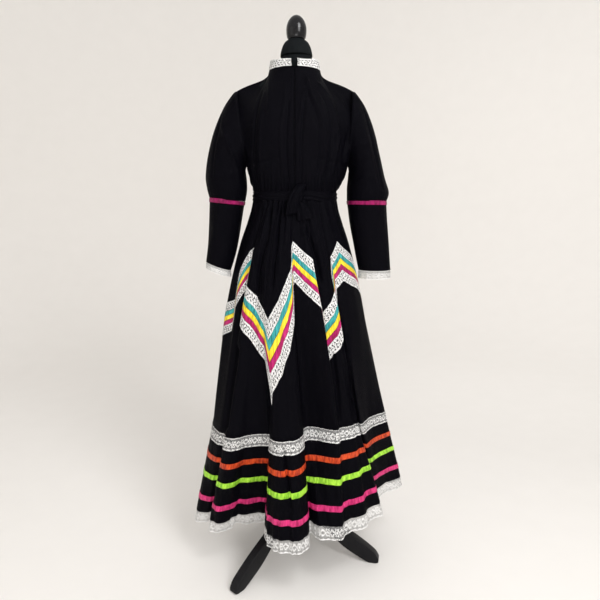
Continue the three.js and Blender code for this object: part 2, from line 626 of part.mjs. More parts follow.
for (const [name, side] of [['left', -1], ['right', 1]]) {
  const rows = collarRows(side, 0, 1, COLLAR_OPEN);
  const directions = outwardDirections(rows, false, fromAxis, true);
  addPiece(`collar_${name}`, clothWall({ rows, directions, inner: -CLOTH, outer: 0, ring: false }), BLACK_CLOTH);
  const laceRows = collarRows(side, 0.06, 0.94, COLLAR_OPEN + 1.5);
  const laceDirections = outwardDirections(laceRows, false, fromAxis, true);
  const shape = { rows: laceRows, directions: laceDirections, inner: LIFT, outer: LIFT + TRIM, ring: false };
  addPiece(`collar_lace_${name}`, clothWall(shape), WHITE_LACE);
}

// ---------------------------------------------------------------- sleeves
// A ring of a sleeve: an ellipse whose long axis runs from the inner to the outer point.
function sleeveRing(section, side) {
  return Array.from({ length: SLEEVE_SIDES }, (unused, i) => {
    const angle = (i / SLEEVE_SIDES) * Math.PI * 2;
    const share = (1 - Math.cos(angle)) / 2;
    const x = lerp(section.inX, section.outX, share);
    return new THREE.Vector3(side * x, section.deep * Math.sin(angle), lerp(section.inZ, section.outZ, share));
  });
}

function addSleeve(name, sleeve) {
  const { side } = sleeve;
  const middle = (section) => new THREE.Vector3((side * (section.inX + section.outX)) / 2, 0, (section.inZ + section.outZ) / 2);
  const wallOf = (sections, level) => {
    const rows = sections.map((section) => sleeveRing(section, side));
    const axis = sections.map(middle);
    const outside = (point) => {
      const nearest = axis.reduce((best, p) => (p.distanceTo(point) < best.distanceTo(point) ? p : best));
      return point.clone().sub(nearest);
    };
    return { rows, directions: outwardDirections(rows, true, outside, level) };
  };
  const upper = wallOf(sleeve.upper, false);
  upper.directions[0].forEach((direction) => direction.setX(0).normalize());
  addPiece(`sleeve_upper_${name}`, clothWall({ ...upper, inner: -CLOTH, outer: 0 }), BLACK_CLOTH);
  const lower = wallOf(sleeve.lower, true);
  addPiece(`sleeve_lower_${name}`, clothWall({ ...lower, inner: -CLOTH, outer: 0 }), BLACK_CLOTH);

  const [top, next] = sleeve.lower;
  const mix = (a, b, share) =>
    Object.fromEntries(Object.keys(a).map((key) => [key, lerp(a[key], b[key], share)]));
  const ribbonShare = SLEEVE_RIBBON / (top.inZ - next.inZ);
  const ribbon = wallOf([mix(top, next, 0.015), mix(top, next, 0.015 + ribbonShare)], true);
  addPiece(`sleeve_ribbon_${name}`, clothWall({ ...ribbon, inner: LIFT, outer: LIFT + TRIM }), MAGENTA, 0.4);

  const cuff = sleeve.lower[sleeve.lower.length - 1];
  const below = (drop) => ({ ...cuff, inZ: cuff.inZ - drop, outZ: cuff.outZ - drop });
  const lace = wallOf([below(SEAM), below(sleeve.lace.drop)], true);
  addPiece(`cuff_lace_${name}`, clothWall({ ...lace, inner: -TRIM, outer: 0 }), WHITE_LACE);
}

Object.entries(SLEEVES).forEach(([name, sleeve]) => addSleeve(name, sleeve));

// ---------------------------------------------------------------- belt
const BELT = { top: 1189, bottom: 1161, steps: 32, thick: 1.8 };

function beltRow(z, wide, deep, power) {
  return Array.from({ length: BELT.steps }, (unused, i) => {
    const angle = (i / BELT.steps) * Math.PI * 2;
    const [across, back] = [Math.sin(angle), -Math.cos(angle)];
    return new THREE.Vector3(
      wide * Math.sign(across) * Math.abs(across) ** power,
      deep * Math.sign(back) * Math.abs(back) ** power,
      z,
    );
  });
}

const beltRows = [beltRow(BELT.top, 122.8, 100.4, 0.9), beltRow(BELT.bottom, 124.2, 102.2, 1)];
const beltDirections = outwardDirections(beltRows, true, fromAxis, true);
addPiece('belt', clothWall({ rows: beltRows, directions: beltDirections, inner: 0, outer: BELT.thick }), BLACK_CLOTH);

// The knot in the middle of the back, a soft lump of folded cloth.
const KNOT = { x: 8, y: -115.2, z: 1176, wide: 18, thick: 12, high: 19 };
const knotRings = [];
for (let r = 1; r < 7; r += 1) {
  const rise = (r / 7) * Math.PI;
  knotRings.push(
    Array.from({ length: 12 }, (unused, i) => {
      const angle = (i / 12) * Math.PI * 2;
      const girth = Math.sin(rise) ** 0.7;
      return new THREE.Vector3(
        KNOT.x + KNOT.wide * girth * Math.sin(angle),
        KNOT.y - KNOT.thick * girth * Math.cos(angle),
        KNOT.z + KNOT.high * Math.cos(rise),
      );
    }),
  );
}
addPiece('belt_knot', loft(knotRings), BLACK_CLOTH);

// The two loose ends of the belt: the middle line of each, and the half width across it.
const BELT_ENDS = [
  {
    name: 'belt_end_left',
    line: [
      { x: 20, y: -113, z: 1208, half: 12 },
      { x: 13, y: -121.4, z: 1198, half: 14 },
      { x: 3, y: -126.4, z: 1180, half: 16 },
      { x: -3, y: -126.4, z: 1160, half: 17 },
      { x: -6, y: -124, z: 1142, half: 17 },
      { x: -8, y: -121.5, z: 1126, half: 17 },
    ],
  },
  {
    name: 'belt_end_right',
    line: [
      { x: 15, y: -116, z: 1158.2, half: 9 },
      { x: 22, y: -117.5, z: 1144, half: 16 },
      { x: 27, y: -118, z: 1126, half: 20 },
      { x: 29, y: -118, z: 1110, half: 21 },
    ],
  },
];
for (const end of BELT_ENDS) {
  const rows = end.line.map((p) => [-1, 0, 1].map((s) => new THREE.Vector3(p.x + s * p.half, p.y - (s === 0 ? 2 : 0), p.z)));
  const directions = rows.map((row) => row.map(() => new THREE.Vector3(0, -1, 0)));
  addPiece(end.name, clothWall({ rows, directions, inner: 0, outer: CLOTH, ring: false }), BLACK_CLOTH);
}

// ---------------------------------------------------------------- dress form
const formRings = FORM_OUTLINE.map((section) =>
  Array.from({ length: FORM_SIDES }, (unused, i) => {
    const angle = (i / FORM_SIDES) * Math.PI * 2;
    const depth = section.deep * Math.cos(angle) * Math.abs(Math.cos(angle)) ** section.point;
    const x = section.wide * Math.sin(angle) + (section.z > NAPE_Z ? NECK_LEAN : 0);
    return new THREE.Vector3(x, section.y - depth, section.z);
  }),
);
addPiece('form_body', loft(formRings), 0x121417, 0.9);

// Turned pieces: the radius at each height, from the bottom up.
function turned(profile, sides) {
  const line = [new THREE.Vector2(0, profile[0].z), ...profile.map((p) => new THREE.Vector2(p.r, p.z))];
  line.push(new THREE.Vector2(0, profile[profile.length - 1].z));
  const geometry = new THREE.LatheGeometry(line, sides);
  geometry.rotateX(Math.PI / 2);
  return geometry;
}

const NECK_CAP = [
  { r: 46, z: FORM_TOP_Z + SEAM },
  { r: 44, z: 1582 },
  { r: 39, z: 1598 },
  { r: 31, z: 1610 },
  { r: 22, z: 1616 },
];
const FINIAL = [
  { r: 24, z: 1616.4 },
  { r: 26.5, z: 1622 },
  { r: 29, z: 1636 },
  { r: 28, z: 1650 },
  { r: 23, z: 1665 },
  { r: 14, z: 1676 },
  { r: 5, z: FINIAL_TOP_Z },
];
addPiece('neck_cap', turned(NECK_CAP, 16), 0x121417, 0.9).position.setX(NECK_LEAN);
addPiece('finial', turned(FINIAL, 16), BLACK_GLOSS, 0.2).position.setX(NECK_LEAN);

// ---------------------------------------------------------------- stand
const POLE_FOOT = STAND.hubTop + SEAM;
const POLE_HEAD = FORM_OUTLINE[0].z - SEAM;
const pole = new THREE.CylinderGeometry(STAND.poleRadius, STAND.poleRadius, POLE_HEAD - POLE_FOOT, 16);
pole.rotateX(Math.PI / 2);
addPiece('pole', pole, BLACK_GLOSS, 0.3, 0.5).position.set(0, 0, (POLE_HEAD + POLE_FOOT) / 2);

const HUB = [
  { r: 14, z: STAND.hubBottom - 16 },
  { r: 24, z: STAND.hubBottom - 6 },
  { r: STAND.hubRadius, z: STAND.hubBottom },
  { r: STAND.hubRadius, z: STAND.hubTop - 12 },
  { r: 20, z: STAND.hubTop },
];
addPiece('hub', turned(HUB, 16), BLACK_GLOSS, 0.35);

// Side view of a leg: distance from the pole, and heights of its lower and upper edges.
const LEG_OUTLINE = [
  { r: STAND.hubRadius + SEAM, low: 152, high: 214 },
  { r: 60, low: 138, high: 194 },
  { r: 95, low: 108, high: 158 },
  { r: 130, low: 76, high: 125 },
  { r: 165, low: 46, high: 104 },
  { r: 200, low: 24, high: 83 },
  { r: 230, low: 8, high: 63 },
  { r: 248, low: 0, high: 50 },
  { r: 268, low: 0, high: 33 },
  { r: STAND.legReach, low: 4, high: 15 },
];
const legShape = new THREE.Shape();
LEG_OUTLINE.forEach((p, i) => (i === 0 ? legShape.moveTo(p.r, p.low) : legShape.lineTo(p.r, p.low)));
[...LEG_OUTLINE].reverse().forEach((p) => legShape.lineTo(p.r, p.high));
legShape.closePath();

LEG_ANGLES.forEach((degrees, i) => {
  const leg = new THREE.ExtrudeGeometry(legShape, { depth: STAND.legThick, bevelEnabled: false });
  leg.translate(0, 0, -STAND.legThick / 2);
  leg.rotateX(Math.PI / 2);
  addPiece(`leg_${i + 1}`, leg, BLACK_GLOSS, 0.35).rotation.z = radians(degrees - 90);
});

// ---------------------------------------------------------------- origin
// Moves the whole to stand centred on the origin.
const extent = new THREE.Box3().setFromObject(model);
model.position.set(-(extent.min.x + extent.max.x) / 2, -(extent.min.y + extent.max.y) / 2, 0);
model.updateMatrixWorld(true);

export default model;
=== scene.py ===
# A black Jalisco folk dance dress on a limbless dress form with a three-legged stand.
# Metres, +Z up. The wearer's back, with the zip and the knotted belt, faces -Y, and +X is to the
# right of someone who looks at that back.
import math

import bmesh
import bpy
import numpy as np
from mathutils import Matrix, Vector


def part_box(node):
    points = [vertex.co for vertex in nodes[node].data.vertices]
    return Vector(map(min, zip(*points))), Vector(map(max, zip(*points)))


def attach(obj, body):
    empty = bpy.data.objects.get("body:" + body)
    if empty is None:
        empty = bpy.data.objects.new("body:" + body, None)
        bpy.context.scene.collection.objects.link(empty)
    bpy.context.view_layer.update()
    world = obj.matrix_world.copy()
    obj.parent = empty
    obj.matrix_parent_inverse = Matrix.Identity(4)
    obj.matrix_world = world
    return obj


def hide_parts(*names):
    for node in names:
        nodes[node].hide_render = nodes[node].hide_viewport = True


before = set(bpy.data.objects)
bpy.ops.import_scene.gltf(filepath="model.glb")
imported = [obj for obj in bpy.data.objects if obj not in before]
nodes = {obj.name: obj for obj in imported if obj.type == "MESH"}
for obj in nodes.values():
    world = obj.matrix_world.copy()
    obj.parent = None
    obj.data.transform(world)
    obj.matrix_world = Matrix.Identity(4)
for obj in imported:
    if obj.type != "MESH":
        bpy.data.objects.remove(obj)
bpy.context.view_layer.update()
bpy.ops.object.select_all(action="DESELECT")
pole_low, pole_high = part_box("pole")
AXIS_X = (pole_low.x + pole_high.x) / 2
AXIS_Y = (pole_low.y + pole_high.y) / 2

# ---------------------------------------------------------------- camera
# Someone of usual height stands 1.65 m behind the stand's pole and looks down a little at the
# waist, with a lens that is slightly wide.
CAMERA_ASIDE, CAMERA_BACK, CAMERA_HIGH = 0.0153, 1.652, 1.151  # from the pole, and from the floor
CAMERA_TURN = 80  # degrees up from looking straight down
CAMERA_LENS, CAMERA_SENSOR = 32.4, 36  # millimetres

camera_data = bpy.data.cameras.new("camera")
camera_data.lens = CAMERA_LENS
camera_data.sensor_width = CAMERA_SENSOR
camera = bpy.data.objects.new("camera", camera_data)
camera.location = (AXIS_X + CAMERA_ASIDE, AXIS_Y - CAMERA_BACK, CAMERA_HIGH)
camera.rotation_euler = (math.radians(CAMERA_TURN), 0, 0)
bpy.context.collection.objects.link(camera)
bpy.context.scene.camera = camera

# ---------------------------------------------------------------- studio
# A round studio floor of pale warm plaster that curves up into its wall, lit by soft lamps
# in front, one high over the shoulder, one for the wall, one for the floor, and light all round.
FLOOR_RADIUS = 2.7
COVE = 1.5
WALL_TOP = 3.2


def node(paint, kind, **settings):
    """A shader node; each setting is a socket's value, a link into it, or the node's own option."""
    made = paint.node_tree.nodes.new("ShaderNode" + kind)
    for key, value in settings.items():
        socket = made.inputs.get(key.replace("_", " "))
        if socket is None:
            setattr(made, key, value)
        elif isinstance(value, bpy.types.NodeSocket):
            paint.node_tree.links.new(value, socket)
        else:
            socket.default_value = value
    return made


def finish_of(name, colour, roughness, **sockets):
    """A new material; returns it with its Principled shader."""
    paint = bpy.data.materials.new(name)
    paint.use_nodes = True
    shader = paint.node_tree.nodes["Principled BSDF"]
    shader.inputs["Base Color"].default_value = (*colour, 1)
    shader.inputs["Roughness"].default_value = roughness
    for key, value in sockets.items():
        shader.inputs[key.replace("_", " ")].default_value = value
    return paint, shader


def between(paint, factor, low, high):
    """A colour that runs from low to high as the factor runs from 0 to 1."""
    ramp = node(paint, "ValToRGB", Fac=factor)
    ramp.color_ramp.elements[0].color = (*low, 1)
    ramp.color_ramp.elements[1].color = (*high, 1)
    return ramp.outputs["Color"]


def calc(paint, operation, *values):
    """A Math node's result."""
    made = node(paint, "Math", operation=operation)
    for socket, value in zip(made.inputs, values):
        if isinstance(value, bpy.types.NodeSocket):
            paint.node_tree.links.new(value, socket)
        else:
            socket.default_value = value
    return made.outputs[0]


def relief(paint, shader, height, distance, strength=1.0):
    """Adds bump of this depth, in metres, to a shader."""
    bump = node(paint, "Bump", Height=height, Distance=distance, Strength=strength)
    paint.node_tree.links.new(bump.outputs[0], shader.inputs["Normal"])


def plaster():
    paint, shader = finish_of("pale_plaster", (0.845, 0.825, 0.80), 0.9)
    place = node(paint, "TexCoord").outputs["Object"]
    grain = node(paint, "TexNoise", Vector=place, Scale=9.0, Detail=6.0).outputs["Fac"]
    colour = between(paint, grain, (0.825, 0.805, 0.78), (0.855, 0.835, 0.81))
    paint.node_tree.links.new(colour, shader.inputs["Base Color"])
    return paint


bpy.ops.mesh.primitive_circle_add(vertices=96, radius=FLOOR_RADIUS, fill_type="NGON")
studio = bpy.context.object
studio.name = "studio_floor"
bpy.ops.object.mode_set(mode="EDIT")
radius, height = FLOOR_RADIUS, 0.0
for turn in [math.radians(15 * step) for step in range(1, 7)] + [None]:
    next_radius = FLOOR_RADIUS + COVE if turn is None else FLOOR_RADIUS + COVE * math.sin(turn)
    next_height = WALL_TOP if turn is None else COVE * (1 - math.cos(turn))
    bpy.ops.mesh.extrude_region_move(TRANSFORM_OT_translate={"value": (0, 0, next_height - height)})
    if turn is not None:
        grow = next_radius / radius
        bpy.ops.transform.resize(value=(grow, grow, 1), center_override=(0, 0, next_height))
    radius, height = next_radius, next_height
bpy.ops.mesh.delete(type="ONLY_FACE")
bpy.ops.mesh.select_all(action="SELECT")
bpy.ops.mesh.normals_make_consistent(inside=True)
bpy.ops.object.mode_set(mode="OBJECT")
bpy.ops.object.shade_smooth()
studio.data.materials.append(plaster())

LAMPS = [
    {"name": "key", "at": (1.5, -2.5, 2.4), "aim": (0, 0, 1.0), "size": 1.1, "power": 38},
    {"name": "fill", "at": (-2.2, -1.5, 1.7), "aim": (0, 0, 1.0), "size": 1.8, "power": 6},
    {"name": "shoulder", "at": (0.7, -1.1, 2.4), "aim": (0, 0, 1.4), "size": 0.6, "power": 15},
    {"name": "wall", "at": (1.3, 0.9, 2.1), "aim": (2.4, 4.0, 1.8), "size": 1.0, "power": 12},
    {"name": "floor", "at": (0.0, -2.4, 0.6), "aim": (0, 0, 0), "size": 1.2, "power": 20},
]
for lamp in LAMPS:
    light = bpy.data.lights.new(lamp["name"], "AREA")
    light.size = lamp["size"]
    light.energy = lamp["power"]
    holder = bpy.data.objects.new(lamp["name"], light)
    holder.location = lamp["at"]
    aim = Vector(lamp["aim"]) - holder.location
    holder.rotation_euler = aim.to_track_quat("-Z", "Y").to_euler()
    bpy.context.collection.objects.link(holder)

world = bpy.data.worlds.new("soft_room")
world.use_nodes = True
world.node_tree.nodes["Background"].inputs["Color"].default_value = (1.0, 0.975, 0.945, 1)
world.node_tree.nodes["Background"].inputs["Strength"].default_value = 0.79
bpy.context.scene.world = world
bpy.context.scene.view_settings.view_transform = "Standard"

# ---------------------------------------------------------------- dress form
# A padded torso without arms or head, its jersey cover drawn tight, with a domed cap on the neck
# and a turned, lacquered finial screwed into the cap.
NECK_LEAN = 0.005  # the neck sits this far to +X of the pole
NECK_CAP = [
    (0.046, 1.5704), (0.0458, 1.576), (0.0435, 1.586), (0.0395, 1.5975), (0.0325, 1.6085),
    (0.022, 1.6155)
]
FINIAL = [
    (0.0235, 1.6164), (0.0262, 1.6205), (0.0281, 1.628), (0.029, 1.637), (0.0288, 1.647),
    (0.0267, 1.657), (0.0225, 1.6665), (0.0165, 1.6742), (0.0098, 1.6793), (0.003, 1.6819),
]


def through(rows, at):
    """Values at these row numbers, whole or not, on a smooth curve through all the rows."""
    rows = np.asarray(rows, float)
    last = len(rows) - 1
    low = np.clip(np.floor(at).astype(int), 0, last - 1)
    share = (np.asarray(at) - low)[..., None]
    a, b = rows[np.clip(low - 1, 0, last)], rows[low]
    c, d = rows[low + 1], rows[np.clip(low + 2, 0, last)]
    bend = (2 * a - 5 * b + 4 * c - d) * share + (3 * b - a - 3 * c + d) * share**2
    return 0.5 * (2 * b + (c - a + bend) * share)


def settle(piece, slot, *stands_for):
    """The piece stands for these CAD nodes, which are hidden, and rides on the one body; slot is
    not used.
    """
    if stands_for:
        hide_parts(*stands_for)
    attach(piece, "root")
    return piece


def apply_modifiers(piece):
    bpy.context.view_layer.objects.active = piece
    for modifier in list(piece.modifiers):
        bpy.ops.object.modifier_apply(modifier=modifier.name)


def turned(name, profile, paint, sides=64):
    """A piece turned about the neck's axis: a disc extruded and resized ring by ring."""
    bpy.ops.object.select_all(action="DESELECT")
    radius, height = profile[0]
    bpy.ops.mesh.primitive_circle_add(
        vertices=sides, radius=radius, fill_type="NGON", location=(
            AXIS_X + NECK_LEAN, AXIS_Y, height
        )
    )
    piece = bpy.context.object
    piece.name = name
    bpy.ops.object.mode_set(mode="EDIT")
    for next_radius, next_height in profile[1:]:
        rise = {"value": (0, 0, next_height - height)}
        bpy.ops.mesh.extrude_region_move(TRANSFORM_OT_translate=rise)
        grow = next_radius / radius
        middle = (AXIS_X + NECK_LEAN, AXIS_Y, next_height)
        bpy.ops.transform.resize(value=(grow, grow, 1), center_override=middle)
        radius, height = next_radius, next_height
    bpy.ops.mesh.select_all(action="SELECT")
    bpy.ops.mesh.normals_make_consistent(inside=False)
    bpy.ops.object.mode_set(mode="OBJECT")
    bpy.ops.object.transform_apply(location=True)
    bpy.ops.object.shade_smooth_by_angle(angle=math.radians(50))
    piece.data.materials.append(paint)
    return piece


def jersey():
    """Black cotton jersey: fine vertical ribs of knitting and a little lint."""
    paint, shader = finish_of("form_jersey", (0.005, 0.0065, 0.0075), 0.8, Specular_IOR_Level=0.06)
    place = node(paint, "TexCoord").outputs["Object"]
    lint = node(paint, "TexNoise", Vector=place, Scale=140.0, Detail=4.0).outputs["Fac"]
    colour = between(paint, lint, (0.004, 0.0052, 0.006), (0.0068, 0.0082, 0.0092))
    paint.node_tree.links.new(colour, shader.inputs["Base Color"])
    rib = node(
        paint, "TexWave", Vector=place, bands_direction="X", Scale=280.0, Distortion=0.6, Detail=1.0
    )
    relief(paint, shader, rib.outputs["Fac"], 0.0004, 0.5)
    return paint


def lacquer():
    """Gloss black lacquer over turned wood, with the faintest ripple in its coat."""
    paint, shader = finish_of(
        "black_lacquer", (0.005, 0.005, 0.006), 0.2, Coat_Weight=0.1, Coat_Roughness=0.1,
        Specular_IOR_Level=0.22
    )
    place = node(paint, "TexCoord").outputs["Object"]
    ripple = node(paint, "TexNoise", Vector=place, Scale=45.0, Detail=2.0).outputs["Fac"]
    colour = between(paint, ripple, (0.004, 0.004, 0.005), (0.008, 0.008, 0.009))
    paint.node_tree.links.new(colour, shader.inputs["Base Color"])
    relief(paint, shader, ripple, 0.0006, 0.4)
    return paint


jersey_cover = jersey()
body = bpy.data.objects.new("padded_body", nodes["form_body"].data.copy())
bpy.context.collection.objects.link(body)
shape = bmesh.new()
shape.from_mesh(body.data)
bmesh.ops.remove_doubles(shape, verts=shape.verts, dist=0.0001)
bmesh.ops.dissolve_limit(shape, angle_limit=0.01, verts=shape.verts, edges=shape.edges)
bmesh.ops.join_triangles(
    shape, faces=shape.faces, angle_face_threshold=0.9, angle_shape_threshold=0.9, cmp_seam=False
)
crease = shape.edges.layers.float.new("crease_edge")
for edge in shape.edges:
    if any(len(face.verts) > 8 for face in edge.link_faces):
        edge[crease] = 0.7
shape.to_mesh(body.data)
shape.free()
body.modifiers.new("rounding", "SUBSURF").levels = 2
body.modifiers["rounding"].render_levels = 2
apply_modifiers(body)
body.data.shade_smooth()
body.data.materials.clear()
body.data.materials.append(jersey_cover)
settle(body, "form_cover", "form_body")

cap_steps = np.linspace(0, len(NECK_CAP) - 1, 19)
settle(
    turned("neck_dome", through(NECK_CAP, cap_steps).tolist(), jersey_cover), "form_cover",
    "neck_cap"
)
finial_steps = np.linspace(0, len(FINIAL) - 1, 28)
settle(
    turned("turned_finial", through(FINIAL, finial_steps).tolist(), lacquer()), "finial", "finial"
)

# ---------------------------------------------------------------- stand
# A steel pole, a turned hub and three sawn and rounded hardwood legs, all black. The legs' flat
# feet stand on the floor.
LEG_ANGLES = [-42, 78, 198]  # degrees from the middle of the back towards +X
LEG_THICK = 0.028
LEG_EDGES = [  # distance from the pole, lower edge, upper edge
    (0.0305, 0.152, 0.214), (0.060, 0.138, 0.194), (0.095, 0.108, 0.158), (0.130, 0.076, 0.125),
    (0.165, 0.046, 0.104), (0.200, 0.024, 0.083), (0.230, 0.008, 0.063), (0.248, 0.0, 0.050),
    (0.268, 0.0, 0.033), (0.279, 0.004, 0.015),
]


def stained_wood():
    """Hardwood stained black under satin varnish, its long grain just showing."""
    paint, shader = finish_of(
        "stained_wood", (0.006, 0.006, 0.007), 0.4, Coat_Weight=0.02, Coat_Roughness=0.3,
        Specular_IOR_Level=0.1
    )
    place = node(paint, "TexCoord").outputs["Object"]
    along = node(paint, "Mapping", Vector=place, Scale=(30.0, 30.0, 6.0)).outputs[0]
    grain = node(
        paint, "TexNoise", Vector=along, Scale=3.0, Detail=7.0, Roughness=0.65
    ).outputs["Fac"]
    colour = between(paint, grain, (0.004, 0.004, 0.005), (0.012, 0.0115, 0.0125))
    paint.node_tree.links.new(colour, shader.inputs["Base Color"])
    rough = calc(paint, "MULTIPLY_ADD", grain, 0.2, 0.28)
    paint.node_tree.links.new(rough, shader.inputs["Roughness"])
    relief(paint, shader, grain, 0.0008, 0.35)
    return paint


def enamel():
    """Black enamel on the steel pole, with fine polishing marks round it."""
    paint, shader = finish_of("pole_enamel", (0.02, 0.02, 0.022), 0.3, Metallic=0.3)
    place = node(paint, "TexCoord").outputs["Object"]
    rings = node(paint, "Mapping", Vector=place, Scale=(2.0, 2.0, 300.0)).outputs[0]
    marks = node(paint, "TexNoise", Vector=rings, Scale=4.0, Detail=3.0).outputs["Fac"]
    rough = calc(paint, "MULTIPLY_ADD", marks, 0.22, 0.2)
    paint.node_tree.links.new(rough, shader.inputs["Roughness"])
    colour = between(paint, marks, (0.015, 0.015, 0.017), (0.026, 0.026, 0.028))
    paint.node_tree.links.new(colour, shader.inputs["Base Color"])
    return paint


wood = stained_wood()
for name, paint in [("pole", enamel()), ("hub", wood)]:
    nodes[name].data.materials.clear()
    nodes[name].data.materials.append(paint)

leg_rows = np.linspace(0, len(LEG_EDGES) - 1, 37)
leg_edges = through(LEG_EDGES, leg_rows)
outline = [(out, max(low, 0.0)) for out, low, high in leg_edges]
outline += [(out, max(high, 0.0)) for out, low, high in leg_edges[::-1]]
for number, degrees in enumerate(LEG_ANGLES, start=1):
    ahead = np.array([math.sin(math.radians(degrees)), -math.cos(math.radians(degrees)), 0])
    aside = np.array([-ahead[1], ahead[0], 0])
    bpy.ops.object.select_all(action="DESELECT")
    bpy.ops.mesh.primitive_circle_add(vertices=len(outline), radius=0.1, fill_type="NGON")
    leg = bpy.context.object
    leg.name = f"sawn_leg_{number}"
    for corner, (out, rise) in zip(leg.data.vertices, outline):
        corner.co = np.array([AXIS_X, AXIS_Y, rise]) + ahead * out - aside * LEG_THICK / 2
    bpy.ops.object.mode_set(mode="EDIT")
    bpy.ops.mesh.extrude_region_move(TRANSFORM_OT_translate={"value": tuple(aside * LEG_THICK)})
    bpy.ops.mesh.select_all(action="SELECT")
    bpy.ops.mesh.normals_make_consistent(inside=False)
    bpy.ops.object.mode_set(mode="OBJECT")
    rounding = leg.modifiers.new("rounding", "BEVEL")
    rounding.width = 0.008
    rounding.segments = 4
    rounding.limit_method = "ANGLE"
    rounding.angle_limit = math.radians(50)
    apply_modifiers(leg)
    bpy.ops.object.shade_smooth_by_angle(angle=math.radians(40))
    leg.data.materials.append(wood)
    settle(leg, "stand_wood", f"leg_{number}")

# ---------------------------------------------------------------- bodice
# Black cotton poplin. Two back halves meet at the zip, and one front piece has no darts: all three
# are eased into the neck seam and gathered into the waist, so soft folds hang between the two.
MILLIMETRE = 0.001
WAIST_Z = 1.1744
ARMPIT_Z = 1.262
SHOULDER_Z = 1.474
NAPE_Z = 1.530
THROAT_Z = 1.498
SEAM = 0.0004
BODICE_OUTLINE = np.array([  # height, half width and shift at the side, depth of back, of front
    (
        1.174, 0.1195, 0, 0.097, 0.097
    ), (1.190, 0.1215, 0, 0.099, 0.099), (1.208, 0.135, 0.005, 0.108, 0.106),
    (
        1.250, 0.149, 0.007, 0.116, 0.118
    ), (1.290, 0.152, 0.006, 0.120, 0.132), (1.350, 0.157, 0.004, 0.120, 0.138),
    (
        1.420, 0.165, 0.0018, 0.112, 0.118
    ), (1.474, 0.172, 0, 0.096, 0.092), (1.530, 0.172, 0, 0.062, 0.060),
])
NECK_WIDE = 0.074
NECK_DEEP = 0.063
NECK_COLUMN = 4  # columns 0 to 4 end on the neckline, and 4 to 7 on the shoulder seam
SIDE_COLUMN = 7
SHOULDER_X = 0.172
SHOULDER_DIP = 0.010
ARMHOLE_DEEP = 0.062
ARMHOLE_EASE = 0.060
ACROSS = [0, 0.13, 0.27, 0.41, 0.55, 0.7, 0.86, 1]  # share across the body of each column
BACK_FOLDS = [  # half width, height, points x, z down the middle, in millimetres
    (
        3.2, -4.2,
        [
            (-89, 1471), (-99, 1440), (-104, 1415), (-109, 1381), (-112, 1341), (-116, 1296),
            (-116, 1243), (-109, 1201)
        ]
    ),
    (5, 2.4, [(-80, 1472), (-90, 1425), (-94, 1367), (-98, 1300), (-95, 1226)]),
    (5, 2.6, [(-21, 1491), (-28, 1419), (-36, 1365), (-37, 1299), (-32, 1225)]),
    (3.6, -3.4, [(-15, 1439), (-20, 1379), (-23, 1326), (-23, 1299), (-21, 1260), (-16, 1208)]),
    (3.2, 2.2, [(10, 1519), (4, 1479), (-1, 1427)]),
    (4, 3.0, [(38, 1504), (26, 1451), (15, 1392), (10, 1325), (7, 1241)]),
    (3.6, -3.4, [(29, 1457), (24, 1392), (21, 1352), (18, 1299), (21, 1202)]),
    (
        4.2, 3.2,
        [(32, 1509), (46, 1456), (65, 1412), (84, 1366), (87, 1326), (85, 1287), (77, 1225)]
    ),
    (4.2, -3.0, [(26, 1492), (40, 1444), (56, 1401), (70, 1353), (71, 1300), (66, 1230)]),
    (
        5, 4.2,
        [(60, 1494), (94, 1455), (110, 1410), (120, 1368), (124, 1328), (116, 1288), (106, 1232)]
    ),
    (4, -3.8, [(65, 1470), (90, 1426), (101, 1381), (104, 1328), (99, 1279), (89, 1225)]),
    (5, 3.4, [(105, 1489), (132, 1451), (147, 1408)]),
    (
        7, -4.0,
        [
            (141, 1480), (154, 1454), (164, 1423), (162, 1393), (156, 1358), (148, 1325),
            (140, 1290), (140, 1256)
        ]
    ),
    (13, -5.0, [(-201, 1400), (-182, 1353), (-162, 1306), (-141, 1262)]),
]
FRONT_PLEATS = [
    (-0.060, -0.096, 0.010, 0.0030), (
        -0.034, -0.060, 0.009, -0.0028
    ), (0.010, 0.016, 0.010, 0.0026),
    (0.040, 0.052, 0.009, -0.0030), (0.064, 0.104, 0.010, 0.0030), (-0.012, -0.020, 0.008, 0.0022),
]


def outline_at(column, z):
    """The bodice outline at a height, its corners eased over 12 mm either way."""
    return sum(np.interp(
        z + ease, BODICE_OUTLINE[:, 0], BODICE_OUTLINE[:, column]
    ) for ease in (-0.012, 0, 0.012)) / 3


def mix(low, high, share):
    return low + (high - low) * share


def bodice_top(x, middle_z):
    half = np.abs(x)
    neck = mix(middle_z, NAPE_Z - 0.002, (half / NECK_WIDE) ** 2)
    along = np.clip((half - NECK_WIDE) / (SHOULDER_X - NECK_WIDE), 0, 1)
    sag = 1.33 * (1 - along) * np.sin(math.pi * np.sqrt(along))
    shoulder = mix(NAPE_Z - 0.002, SHOULDER_Z, along) - SHOULDER_DIP * sag
    return np.where(half < NECK_WIDE, neck, shoulder)


